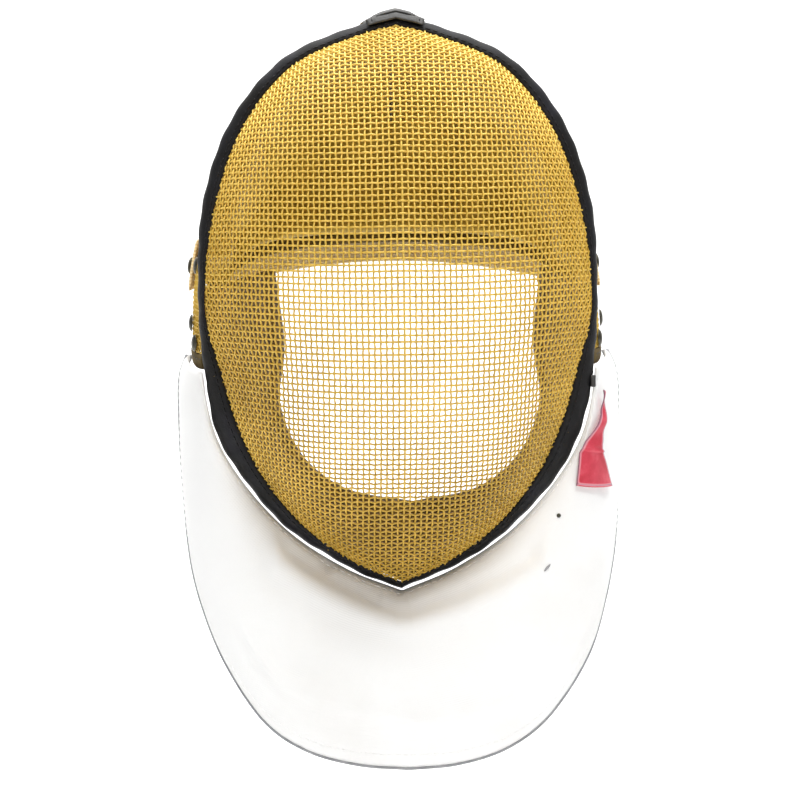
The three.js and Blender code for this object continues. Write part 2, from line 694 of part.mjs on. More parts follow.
const GOLD_WIRE = new THREE.MeshStandardMaterial({ color: 0xc9a44f, roughness: 0.45, metalness: 0.35 });
const BLACK_BINDING = new THREE.MeshStandardMaterial({ color: 0x1d1c20, roughness: 0.7, metalness: 0 });
const DARK_PADDING = new THREE.MeshStandardMaterial({ color: 0x2c2a22, roughness: 0.95, metalness: 0 });
const WHITE_CLOTH = new THREE.MeshStandardMaterial({ color: 0xf4f4f2, roughness: 0.9, metalness: 0 });
const GREY_COVER = new THREE.MeshStandardMaterial({ color: 0x62605e, roughness: 0.65, metalness: 0 });
const PALE_ELASTIC = new THREE.MeshStandardMaterial({ color: 0xe3d9bd, roughness: 0.9, metalness: 0 });
const DARK_METAL = new THREE.MeshStandardMaterial({ color: 0x4a4a42, roughness: 0.4, metalness: 0.8 });
const RED_CLOTH = new THREE.MeshStandardMaterial({ color: 0xd0445a, roughness: 0.85, metalness: 0 });

const mask = new THREE.Group();

function add(name, geometry, material) {
  const mesh = new THREE.Mesh(geometry, material);
  mesh.name = name;
  mask.add(mesh);
  return mesh;
}

add("face_mesh", faceGeometry(), GOLD_WIRE);
add("face_trim", trimGeometry(), BLACK_BINDING);
add("crown_mesh", crownGeometry(), GOLD_WIRE);
add("rear_trim", rearTrimGeometry(), BLACK_BINDING);
add("crown_pad", crownPadGeometry(), DARK_PADDING);
add("chin_pad", chinPadGeometry(), DARK_PADDING);
add("bib", bibGeometry(), WHITE_CLOTH);
add("side_patch", patchGeometry(), RED_CLOTH);
add("tongue", tongueWall(TONGUE_WIDTH, WHOLE, CLEAR, TONGUE_WALL), GREY_COVER);
add("tongue_cover", tongueWall(COVER_WIDTH, COVER_ROWS, 2 * CLEAR + TONGUE_WALL, COVER_WALL), GREY_COVER);
add("back_strap", strapGeometry(), PALE_ELASTIC);

const UP = new THREE.Vector3(0, 1, 0);
for (const { name, drop, back, onStrap } of RIVETS) {
  const place = crownPlaceAt(drop, back);
  for (const [side, word] of [
    [-1, "left"],
    [1, "right"],
  ]) {
    const strapBelow = onStrap ? strapLift + STRAP_WALL / 2 - MESH_WALL / 2 : 0;
    const { normal } = crownFrame(side * place, back);
    const rivet = add(`${name}_${word}`, rivetGeometry(), DARK_METAL);
    rivet.position.copy(onCrown(side * place, back, MESH_WALL / 2 + CLEAR + strapBelow));
    rivet.quaternion.setFromUnitVectors(UP, normal);
  }
}

const tabStation = station(1, placeAt(TAB_PLACE));
const tab = add("trim_tab", new THREE.BoxGeometry(...TAB_SIZE), GREY_COVER);
tab.position.copy(beside(tabStation, CLEAR + TAB_SIZE[0] / 2, tabStation.edge + TRIM_FOLD / 2));
tab.rotation.y = Math.atan2(-tabStation.normal[1], tabStation.normal[0]);

export default mask;
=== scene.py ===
"""A fencing mask: woven gold wire over face and crown, black trim, padding and a white throat bib.

Metres, +Z up, the mask faces -Y. The origin is where the crown of the head meets the padding.
"""

import math

import bmesh
import bpy
import numpy as np
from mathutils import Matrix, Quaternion, Vector


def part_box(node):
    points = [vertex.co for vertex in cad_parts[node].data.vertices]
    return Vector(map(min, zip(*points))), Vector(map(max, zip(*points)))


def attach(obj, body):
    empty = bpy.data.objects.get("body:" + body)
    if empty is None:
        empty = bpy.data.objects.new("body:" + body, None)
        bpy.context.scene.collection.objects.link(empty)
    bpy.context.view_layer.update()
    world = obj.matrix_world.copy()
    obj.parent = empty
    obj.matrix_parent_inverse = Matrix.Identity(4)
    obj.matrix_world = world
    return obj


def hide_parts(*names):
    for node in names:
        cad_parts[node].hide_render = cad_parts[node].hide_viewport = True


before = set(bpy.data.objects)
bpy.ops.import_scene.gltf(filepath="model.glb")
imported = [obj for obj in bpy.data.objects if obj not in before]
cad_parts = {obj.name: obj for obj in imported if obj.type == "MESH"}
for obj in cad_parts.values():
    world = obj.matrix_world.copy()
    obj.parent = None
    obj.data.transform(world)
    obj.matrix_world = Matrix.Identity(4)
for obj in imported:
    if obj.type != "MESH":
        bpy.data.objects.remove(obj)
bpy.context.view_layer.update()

# Sizes taken from the frame
TRIM_LOW, TRIM_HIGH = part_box("face_trim")
FACE_TOP = TRIM_HIGH.z
FACE_HEIGHT = TRIM_HIGH.z - TRIM_LOW.z
FACE_WIDTH = TRIM_HIGH.x - TRIM_LOW.x
CREASE_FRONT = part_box("face_mesh")[0].y
BIB_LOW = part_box("bib")[0]

# Driving sizes
FACE_DEPTH = 0.098
CREASE_SLOPE = 0.48
ROUNDING = 4
NOSE_PLACE = 0.495
EAR_PLACE = 0.585
TRIM_BAND = 0.011
TRIM_WALL = 0.003
TRIM_LIP = 0.0015
TRIM_FOLD = 0.007
TRIM_LEG = 0.009
CROWN_DEPTH = 0.130
REAR_BACK = 0.064
REAR_DROP = 0.088
REAR_HALF_WIDTH = 0.105
REAR_EAR_DROP = 0.061
TAPE_WIDTH = 0.007
TAPE_WALL = 0.0032
TAPE_BITE = 0.0006
MESH_WALL = 0.002
CROWN_PAD = 0.014
CHIN_PAD = 0.008
CHIN_PAD_PLACE = 0.475
CHIN_PAD_OUT = 0.002
CHIN_PAD_TIP = 0.0012
CROWN_PAD_ENDS = 0.775
CROWN_PAD_FRONT = 0.06
CROWN_PAD_REAR = 0.988
CROWN_PAD_GAP = 0.0012
CROWN_PAD_THINNER = 0.0014
PAD_HEM_STEPS = 5
PAD_HEM_STEP = 0.0013
OPENING_HALF_WIDTH = 0.072
OPENING_BOTTOM = 0.237
OPENING_BACK = 0.036
OPENING_SHIFT = 0.008
BIB_WALL = 0.0035
BIB_HALF_WIDTH = 0.1155
BIB_DROP = 0.3695
BIB_AHEAD = 0.066
BIB_WING_BACK = 0.024
BIB_SWING = 0.0015
BIB_EAR_PLACE = 0.612
BIB_OFF_TRIM = 0.0006
BIB_TUCK = 0.55
BINDING_WIDTH = 0.0016
BINDING_PROUD = 0.0005
TONGUE_WIDTH = 0.030
TONGUE_WALL = 0.0012
TONGUE_TAIL = 0.006
TONGUE_FLARE = 0.001
COVER_WIDTH = 0.020
COVER_WALL = 0.001
STRAP_WIDTH = 0.025
STRAP_WALL = 0.0016
STRAP_DROP = 0.110
STRAP_BELOW_RIM = 0.005
STRAP_SLACK = 0.009
PATCH_WALL = 0.0008
PATCH_LIFT = 0.0002
PATCH_HEM = 0.006
TAB_NEARER = 0.0019
TAB_NARROWER = 0.6
CLEAR = 0.0003
WIRE = 0.001
PITCH = 0.0031
NET_START = -0.060
NET_BOW = 0.6
NET_SIDE = 52
NET_UP = 44
NET_DOWN = 92
WIRES_END = 0.6
WIRES_SINK = 1.12


def table(columns, rows):
    """The named columns of a table, each as an array."""
    return dict(zip(columns.split(), np.array(rows, float).T))


# The face's outline: shares of its height from the top, and of its half width
OUTLINE = table("height width", [
    (0, 0), (0.018, 0.2), (0.072, 0.561), (0.18, 0.828), (0.32, 0.97), (0.46, 1),
    (0.6, 0.98), (0.74, 0.895), (0.88, 0.601), (0.96, 0.275), (1, 0),
])
# The trim's visible width, as shares of its widest, by the face's height
BAND = table("height width", [
    (0, 0.5), (0.15, 0.64), (0.32, 0.6), (0.46, 0.34), (0.53, 0.36), (0.6, 0.68),
    (0.67, 0.92), (0.74, 1), (0.81, 0.82), (0.88, 0.62), (0.95, 0.4), (1, 0.28),
])
# Depth of the crease and of the edge, as shares of the face's depth, by the face's height
PROFILE = table("height crease edge", [
    (0.019, 0.714, 0.714), (0.075, 0.44, 0.74), (0.128, 0.29, 0.76), (0.18, 0.19, 0.775),
    (0.232, 0.118, 0.79), (0.32, 0.052, 0.815), (0.407, 0.016, 0.835), (NOSE_PLACE, 0, 0.85),
    (0.582, 0.006, 0.865), (0.67, 0.055, 0.882), (0.757, 0.2, 0.9), (0.844, 0.42, 0.92),
    (0.932, 0.7, 0.938), (0.99, 0.95, 0.95),
])
# How far the crown's lines reach out and back at both ends, as shares of its depth, from top to ear
ARCH = table("place trim_out trim_back rim_out rim_back rim_rise", [
    (0, 0.11, 0.4, 0, 0.085, 0.77), (0.25, 0.08, 0.39, 0.07, 0.08, 0.68),
    (0.5, 0, 0.34, 0.07, 0.045, 0.43), (0.75, 0, 0.24, 0.06, -0.045, 0.18),
    (1, 0.06, 0.12, 0.02, -0.13, -0.015),
])
# The rear rim from its top to the ear, as shares of its half width, depth and drop
REAR_RIM = table("width back drop", [
    (0, 1, 0), (0.355, 0.985, 0.033), (0.673, 0.875, 0.13), (0.888, 0.656, 0.344),
    (0.981, 0.437, 0.64), (1, 0.19, 1),
])
# The opening's edge from the chin to the ear, as shares of its half width, depth and height
OPENING = table("width back rise", [
    (0, 0.1, 0), (0.5, 0.14, 0.05), (0.82, 0.24, 0.17), (0.98, 0.42, 0.36),
    (0.94, 0.66, 0.56), (1, 0.8, 0.82),
])
# The bib's free edge from its lowest point to the wing, as shares of its half width, depth and height
BIB_EDGE = table("width back rise", [
    (0, 0, 0), (0.215, 0.01, 0.01), (0.43, 0.045, 0.043), (0.605, 0.1, 0.107),
    (0.79, 0.24, 0.252), (0.885, 0.38, 0.397), (0.94, 0.53, 0.537), (0.97, 0.69, 0.677),
    (0.985, 0.82, 0.827), (0.985, 0.93, 0.95), (0.955, 1, 1),
])
# How far the bib's lines bulge at both ends, as shares of its fall, from the middle to the wing
FULLNESS = table("place out ahead edge_out edge_ahead edge_rise", [
    (0, 0.2, 0.34, 0, 0.07, 0.38), (0.3, 0.19, 0.3, 0.04, 0.09, 0.28),
    (0.6, 0.14, 0.13, 0.065, 0.11, 0.09), (0.85, 0.1, 0.03, 0.055, 0.11, 0.04),
    (1, 0.07, -0.05, 0.045, 0.13, 0.02),
])
# The label from its tip to its foot: places of both sides on the bib, and how far down they are
PATCH = table("inner outer inner_down outer_down", [
    (0.925, 0.915, 0.1, 0.13), (0.85, 0.83, 0.14, 0.22), (0.762, 0.77, 0.07, 0.25),
    (0.722, 0.745, 0.07, 0.33), (0.63, 0.69, 0.2, 0.55),
])


def read(rows, along, column, at):
    """Smooth value of a column: cubic steps between rows, each row's slope taken across its neighbours."""
    t = rows[along]
    v = rows[column]
    at = np.clip(at, t[0], t[-1])
    i = np.clip(np.searchsorted(t, at) - 1, 0, len(t) - 2)
    k = np.arange(len(t))
    low = np.maximum(k - 1, 0)
    high = np.minimum(k + 1, len(t) - 1)
    slope = (v[high] - v[low]) / (t[high] - t[low])
    step = t[i + 1] - t[i]
    s = (at - t[i]) / step
    rise = v[i + 1] - v[i]
    m = slope[i] * step
    n = slope[i + 1] * step
    return v[i] + m * s + (3 * rise - 2 * m - n) * s**2 + (m + n - 2 * rise) * s**3


def arc_lengths(line):
    """The length along a line of points from its first point to each of them."""
    return np.concatenate([[0], np.cumsum(np.linalg.norm(np.diff(line, axis=0), axis=1))])


def lengths_along(grid, axis):
    """The length along a grid's lines from their first points to each point."""
    step = np.linalg.norm(np.diff(grid, axis=axis), axis=2)
    return np.cumsum(np.concatenate([0 * step.take([0], axis), step], axis=axis), axis=axis)


def around(sides):
    """Angles that share a full turn out evenly."""
    return np.arange(sides) * 2 * np.pi / sides


def squared_off(values, power):
    """Sines or cosines raised to a power under 1 with their signs kept, which turns a circle boxy."""
    return np.sign(values) * np.abs(values) ** power


class Curve:
    """A smooth curve through points, by centripetal Catmull-Rom steps, read by its arc length."""

    def __init__(self, points, fineness=60):
        p = np.array(points, float)
        p = np.vstack([2 * p[0] - p[1], p, 2 * p[-1] - p[-2]])
        gap = np.sqrt(np.linalg.norm(np.diff(p, axis=0), axis=1))[:, None]
        a, b, c, d = p[:-3], p[1:-2], p[2:-1], p[3:]
        e, f, g = gap[:-2], gap[1:-1], gap[2:]
        start = ((b - a) / e - (c - a) / (e + f) + (c - b) / f) * f
        end = ((c - b) / f - (d - b) / (f + g) + (d - c) / g) * f
        t = np.linspace(0, 1, fineness, endpoint=False)[None, :, None]
        b, c, start, end = (x[:, None, :] for x in (b, c, start, end))
        line = b + start * t + (3 * (c - b) - 2 * start - end) * t**2
        line = line + (start + end - 2 * (c - b)) * t**3
        self.line = np.vstack([line.reshape(-1, p.shape[1]), p[-2]])
        self.arc = arc_lengths(self.line)
        self.length = self.arc[-1]

    def at(self, u):
        """Points at shares u of the curve's length."""
        along = np.clip(u, 0, 1) * self.length
        return np.stack([np.interp(along, self.arc, x) for x in self.line.T], axis=-1)

    def tangent(self, u, step=1e-3):
        """Unit directions of the curve at shares u of its length."""
        way = self.at(np.minimum(u + step, 1)) - self.at(np.maximum(u - step, 0))
        return way / np.linalg.norm(way, axis=-1, keepdims=True)


def height_at(share):
    """The height at a share of the face's height below its top."""
    return FACE_TOP - share * FACE_HEIGHT


def share_at(z):
    """The share of the face's height that lies above z."""
    return (FACE_TOP - z) / FACE_HEIGHT


outline = Curve(np.stack([OUTLINE["width"] * FACE_WIDTH / 2, height_at(OUTLINE["height"])], axis=-1))
rear_rim = Curve(np.stack([
    REAR_RIM["width"] * REAR_HALF_WIDTH,
    REAR_RIM["back"] * REAR_BACK,
    -REAR_DROP - REAR_RIM["drop"] * REAR_EAR_DROP,
], axis=-1))
bib_edge = Curve(np.stack([
    BIB_EDGE["width"] * BIB_HALF_WIDTH,
    -BIB_AHEAD + BIB_EDGE["back"] * (BIB_WING_BACK + BIB_AHEAD),
    -BIB_DROP + BIB_EDGE["rise"] * (height_at(BIB_EAR_PLACE) + TRIM_LEG + BIB_DROP),
], axis=-1))
opening_edge = Curve(np.stack([
    OPENING["width"] * OPENING_HALF_WIDTH,
    OPENING["back"] * OPENING_BACK,
    -OPENING_BOTTOM + OPENING["rise"] * (OPENING_BOTTOM - REAR_DROP),
], axis=-1))


def place_at(share):
    """The outline's place, from 0 at its top to 1 at the chin, at a share of the face height."""
    u = np.linspace(0, 1, 2001)
    return float(np.interp(share, share_at(outline.at(u)[:, 1]), u))


EAR = place_at(EAR_PLACE)
BIB_EAR = place_at(BIB_EAR_PLACE)


class Station:
    """Places on the trim's outline: side is -1 or 1, u runs from the top (0) to the chin (1)."""

    def __init__(self, side, u):
        u = np.asarray(u, float)
        side = np.broadcast_to(np.asarray(side, float), u.shape)
        point = outline.at(u)
        along = outline.tangent(u)
        middle = (u < 1e-6) | (u > 1 - 1e-6)
        self.x = point[..., 0] * side
        self.z = point[..., 1]
        self.nx = np.where(middle, 0, -along[..., 1] * side)
        self.nz = np.where(middle, np.where(u < 0.5, 1, -1), along[..., 0])
        share = share_at(self.z)
        self.band = TRIM_BAND * read(BAND, "height", "width", share)
        self.edge = CREASE_FRONT + FACE_DEPTH * read(PROFILE, "height", "edge", share)

    def beside(self, out, y):
        """Points this far outside the outline at a depth y."""
        x = self.x + self.nx * out
        return np.stack([x, np.broadcast_to(y, x.shape), self.z + self.nz * out], axis=-1)


visible = Station(1, np.linspace(0, 1, 401))
visible_edge = visible.beside(-visible.band, 0)


def face_depth(x, z):
    """Depth of the face: straight off the crease for a share of the way, then a fourth power to the edge."""
    share = share_at(z)
    crease = read(PROFILE, "height", "crease", share)
    edge = read(PROFILE, "height", "edge", share)
    half = np.maximum(np.interp(-z, -visible_edge[:, 2], visible_edge[:, 0]), 1e-5)
    across = np.minimum(np.abs(x) / half, 1)
    turn = CREASE_SLOPE * across + (1 - CREASE_SLOPE) * across**ROUNDING
    return CREASE_FRONT + FACE_DEPTH * (crease + (edge - crease) * turn)


def face_slopes(x, z, step=2e-4):
    """How fast the face's depth changes along X and along Z."""
    along_x = (face_depth(x + step, z) - face_depth(x - step, z)) / (2 * step)
    along_z = (face_depth(x, z + step) - face_depth(x, z - step)) / (2 * step)
    return along_x, along_z


def on_face(x, z):
    """Points of the face."""
    return np.stack([x, face_depth(x, z), z], axis=-1)


def face_normals(x, z):
    """Outward normals of the face: its slopes along X and Z, with -1 for the way forward."""
    along_x, along_z = face_slopes(x, z)
    normal = np.stack([along_x, -np.ones_like(x), along_z], axis=-1)
    return normal / np.linalg.norm(normal, axis=-1, keepdims=True)


def march(down, count):
    """A quarter of the woven net, as grids of x and z.

    Its first wires are the crease and a line that bows slightly up to each side, both stepped by
    the pitch. Each further crossing lies a pitch from the crossing before it on both wires, found
    by Newton's method for a whole diagonal of crossings at a time.
    """
    x = np.zeros((NET_SIDE + 1, count + 1))
    z = np.zeros((NET_SIDE + 1, count + 1))
    fine = np.linspace(0, 1, 4000)
    out = fine * FACE_WIDTH
    section = on_face(out, NET_START + NET_BOW * out**2)
    x[:, 0] = np.interp(np.arange(NET_SIDE + 1) * PITCH, arc_lengths(section), out)
    z[:, 0] = NET_START + NET_BOW * x[:, 0] ** 2
    far = NET_START + (-1 if down else 1) * fine * FACE_HEIGHT
    section = on_face(np.zeros_like(fine), far)
    z[0, :] = np.interp(np.arange(count + 1) * PITCH, arc_lengths(section), far)
    for diagonal in range(2, NET_SIDE + count + 1):
        i = np.arange(max(1, diagonal - count), min(NET_SIDE, diagonal - 1) + 1)
        j = diagonal - i
        ends = [on_face(x[i - 1, j], z[i - 1, j]), on_face(x[i, j - 1], z[i, j - 1])]
        px = x[i - 1, j] + x[i, j - 1] - x[i - 1, j - 1]
        pz = z[i - 1, j] + z[i, j - 1] - z[i - 1, j - 1]
        for _ in range(6):
            along_x, along_z = face_slopes(px, pz)
            way = [on_face(px, pz) - end for end in ends]
            miss = [np.sum(w * w, axis=-1) - PITCH**2 for w in way]
            (a, b), (c, d) = [
                (2 * (w[:, 0] + w[:, 1] * along_x), 2 * (w[:, 2] + w[:, 1] * along_z)) for w in way
            ]
            size = a * d - b * c
            size = np.where(np.abs(size) < 1e-9, 1e-9, size)
            px = px - np.clip((miss[0] * d - miss[1] * b) / size, -PITCH, PITCH) * 0.9
            pz = pz - np.clip((a * miss[1] - c * miss[0]) / size, -PITCH, PITCH) * 0.9
        x[i, j] = px
        z[i, j] = pz
    return x, z


def face_net():
    """Crossings of the whole face net: wires that rise by the crease, from left to right."""
    low_x, low_z = march(True, NET_DOWN)
    up_x, up_z = march(False, NET_UP)
    x = np.concatenate([low_x[:, :0:-1], up_x], axis=1)
    z = np.concatenate([low_z[:, :0:-1], up_z], axis=1)
    return np.concatenate([-x[:0:-1], x]), np.concatenate([z[:0:-1], z])


def under_trim(x, z):
    """How far points of the face lie inside the trim's outer edge, and the edge's depth beside them.

    The distance is square to the nearest place of the outline and counted in widths of the trim.
    """
    u = np.linspace(0, 1, 500)
    s = Station(1, u)
    dx = np.abs(x).ravel()[:, None] - s.x[None, :]
    dz = z.ravel()[:, None] - s.z[None, :]
    near = np.argmin(dx**2 + dz**2, axis=1)
    k = np.arange(len(near))
    inside = -(dx[k, near] * s.nx[near] + dz[k, near] * s.nz[near]) / s.band[near]
    return inside.reshape(x.shape), s.edge[near].reshape(x.shape)


def unit(vectors):
    """The vectors at length 1."""
    return vectors / np.maximum(np.linalg.norm(vectors, axis=-1, keepdims=True), 1e-12)


def make_piece(name, points, faces):
    """A new mesh object at the origin, with its place in its mesh."""
    mesh = bpy.data.meshes.new(name)
    mesh.from_pydata(np.asarray(points).reshape(-1, 3).tolist(), [], faces)
    mesh.update()
    mesh.shade_smooth()
    piece = bpy.data.objects.new(name, mesh)
    bpy.context.scene.collection.objects.link(piece)
    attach(piece, "root")
    return piece


def face_outward(piece):
    """Merges equal corners and turns a closed body's faces outward."""
    body = bmesh.new()
    body.from_mesh(piece.data)
    bmesh.ops.remove_doubles(body, verts=body.verts, dist=1e-6)
    bmesh.ops.recalc_face_normals(body, faces=body.faces)
    body.to_mesh(piece.data)
    body.free()


def ringed_body(name, rings):
    """A closed body from rings of points: each is joined to the next, and both ends are closed."""
    sides = rings.shape[1]
    index = np.arange(rings.shape[0] * sides).reshape(-1, sides)
    a, b = index[:-1], index[1:]
    quads = np.stack([a, np.roll(a, -1, 1), np.roll(b, -1, 1), b], axis=-1).reshape(-1, 4)
    piece = make_piece(name, rings, quads.tolist() + [index[0, ::-1].tolist(), index[-1].tolist()])
    face_outward(piece)
    return piece


def trim_loose(points, faces):
    """Leaves out points that no face uses."""
    used = np.zeros(len(points), bool)
    for group in faces:
        used[np.unique(group)] = True
    index = np.cumsum(used) - 1
    return points[used], [index[group] for group in faces]


def wires(name, centre, normal, keep, sides):
    """Round wires along the rows of a grid of centres.

    Each centre gets a ring of points at the wire's radius, square to the wire's own direction, and
    rings that follow each other and are both kept are joined. A wire's ends are closed.
    """
    before = np.concatenate([centre[:, :1], centre[:, :-1]], axis=1)
    after = np.concatenate([centre[:, 1:], centre[:, -1:]], axis=1)
    along = unit(after - before)
    across = unit(np.cross(along, normal))
    up = np.cross(across, along)
    turn = around(sides)
    ring = across[:, :, None] * np.cos(turn)[:, None] + up[:, :, None] * np.sin(turn)[:, None]
    points = centre[:, :, None] + ring * WIRE / 2
    rows, count = keep.shape
    index = np.arange(rows * count * sides).reshape(rows, count, sides)
    both = keep[:, 1:] & keep[:, :-1]
    a = index[:, :-1][both]
    b = index[:, 1:][both]
    quads = np.stack([a, np.roll(a, -1, 1), np.roll(b, -1, 1), b], axis=-1).reshape(-1, 4)
    joined_before = np.pad(both, ((0, 0), (1, 0)))
    joined_after = np.pad(both, ((0, 0), (0, 1)))
    starts = index[joined_after & ~joined_before][:, ::-1]
    ends = index[joined_before & ~joined_after]
    points, groups = trim_loose(points.reshape(-1, 3), [quads, starts, ends])
    return make_piece(name, points, [face for group in groups for face in group.tolist()])


def halfway(grid):
    """The grid with a point added between each two neighbours of a row."""
    rows, count = grid.shape[:2]
    full = np.zeros((rows, 2 * count - 1) + grid.shape[2:])
    full[:, ::2] = grid
    full[:, 1::2] = (grid[:, 1:] + grid[:, :-1]) / 2
    return full


def woven(name, surface, normal, keep, first_sign, sides):
    """One set of a plain weave's wires, over and under the other set by turns."""
    rows, count = keep.shape
    turn = (-1.0) ** (np.arange(rows)[:, None] + np.arange(count)[None, :]) * first_sign
    over = surface + normal * (turn * WIRE * 0.5)[..., None]
    middles = halfway(surface)
    middles[:, ::2] = over
    kept = np.zeros((rows, 2 * count - 1), bool)
    kept[:, ::2] = keep
    kept[:, 1::2] = keep[:, 1:] & keep[:, :-1]
    return wires(name, middles, unit(halfway(normal)), kept, sides)


FACE_CENTRE = np.array([0, 0, FACE_TOP - FACE_HEIGHT / 2])
BIB_CENTRE = np.array([0, REAR_BACK, -BIB_DROP * 0.6])


def crown_point(place, back):
    """The middle of the crown's wall: a cubic Bezier line from the trim (0) to the rear rim (1).

    place runs from ear (-1) over the top (0) to ear (1).
    """
    place, back = np.broadcast_arrays(np.asarray(place, float), np.asarray(back, float))
    side = np.where(place < 0, -1.0, 1.0)
    share = np.minimum(np.abs(place), 1)
    s = Station(side, share * EAR)
    arch = {k: CROWN_DEPTH * read(ARCH, "place", k, share) for k in ARCH}
    front = s.beside(-TRIM_WALL / 2, s.edge + TRIM_FOLD + TRIM_LEG + CLEAR)
    handle = s.beside(-TRIM_WALL / 2 + arch["trim_out"], front[..., 1] + arch["trim_back"])
    rim = rear_rim.at(share)
    rim[..., 0] *= side
    shift = np.stack([side * arch["rim_out"], arch["rim_back"], arch["rim_rise"]], axis=-1)
    t = back[..., None]
    a = (1 - t) ** 3 * front + 3 * (1 - t) ** 2 * t * handle
    return a + 3 * (1 - t) * t**2 * (rim + shift) + t**3 * rim


def crown_normal(place, back, step=0.004):
    """Outward normals of the crown, square to the trim where it starts."""
    place, back = np.broadcast_arrays(np.asarray(place, float), np.asarray(back, float))
    across = crown_point(np.minimum(place + step, 1), back)
    across = across - crown_point(np.maximum(place - step, -1), back)
    along = crown_point(place, np.minimum(back + step, 1))
    along = along - crown_point(place, np.maximum(back - step, 0))
    normal = unit(np.cross(across, along))
    outward = np.sum(normal * (crown_point(place, back) - FACE_CENTRE), axis=-1)
    normal *= np.where(outward < 0, -1.0, 1.0)[..., None]
    ease = np.clip(back / 0.1, 0, 1)
    normal[..., 1] *= ease * ease * (3 - 2 * ease)
    return unit(normal)


def on_crown(place, back, distance):
    """Points at a distance from the middle of the crown's wall, outward."""
    return crown_point(place, back) + crown_normal(place, back) * np.asarray(distance)[..., None]


def bib_point(place, down):
    """The middle of the bib's cloth: a cubic Bezier line from the trim (0) to the free edge (1).

    place runs from wing (-1) by the middle (0) to wing (1).
    """
    place, down = np.broadcast_arrays(np.asarray(place, float), np.asarray(down, float))
    side = np.where(place < 0, -1.0, 1.0)
    share = np.minimum(np.abs(place), 1)
    s = Station(side, 1 + (BIB_EAR - 1) * share)
    fall = BIB_DROP + height_at(1)
    full = {k: fall * read(FULLNESS, "place", k, share) for k in FULLNESS}
    first = CLEAR + BIB_OFF_TRIM
    start = s.beside(first, s.edge + TRIM_FOLD * BIB_TUCK)
    handle = s.beside(first + full["out"], start[..., 1] - full["ahead"])
    end = bib_edge.at(share)
    end[..., 0] = end[..., 0] * side + BIB_SWING
    shift = np.stack([side * full["edge_out"], -full["edge_ahead"], full["edge_rise"]], axis=-1)
    t = down[..., None]
    a = (1 - t) ** 3 * start + 3 * (1 - t) ** 2 * t * handle
    return a + 3 * (1 - t) * t**2 * (end + shift) + t**3 * end


def grid_normals(grid, centre):
    """Outward normals of an open grid of points, turned away from a centre."""
    across = np.gradient(grid, axis=0)
    down = np.gradient(grid, axis=1)
    normal = unit(np.cross(across, down))
    outward = np.sum(normal * (grid - centre), axis=-1)
    return normal * np.where(outward < 0, -1.0, 1.0)[..., None]


def grid_faces(rows, columns, offset=0):
    """The quads of a grid of points, row by row."""
    index = np.arange(rows * columns).reshape(rows, columns) + offset
    a, b = index[:-1, :-1], index[1:, :-1]
    c, d = index[1:, 1:], index[:-1, 1:]
    return np.stack([a, b, c, d], axis=-1).reshape(-1, 4)


def sheet_body(name, outer, inner):
    """A closed wall between two grids of points: both skins and a rim along the four borders."""
    rows, columns = outer.shape[:2]
    count = rows * columns
    points = np.concatenate([outer.reshape(-1, 3), inner.reshape(-1, 3)])
    index = np.arange(count).reshape(rows, columns)
    faces = [grid_faces(rows, columns), grid_faces(rows, columns, count)[:, ::-1]]
    for line in (index[::-1, 0], index[:, -1], index[0], index[-1, ::-1]):
        faces.append(np.stack([line[:-1], line[1:], line[1:] + count, line[:-1] + count], axis=-1))
    piece = make_piece(name, points, np.concatenate(faces).tolist())
    face_outward(piece)
    return piece


def bevelled(outer, inner, edge):
    """Draws the border of both skins of a wall together, so that its rim is round."""
    middle = (outer + inner) / 2
    keep = edge[..., None]
    return middle + (outer - middle) * keep, middle + (inner - middle) * keep


def srgb(red, green, blue):
    """Linear colour from a display colour in 0 to 255."""
    c = np.array([red, green, blue]) / 255
    return tuple(np.where(c > 0.04045, ((c + 0.055) / 1.055) ** 2.4, c / 12.92).tolist())


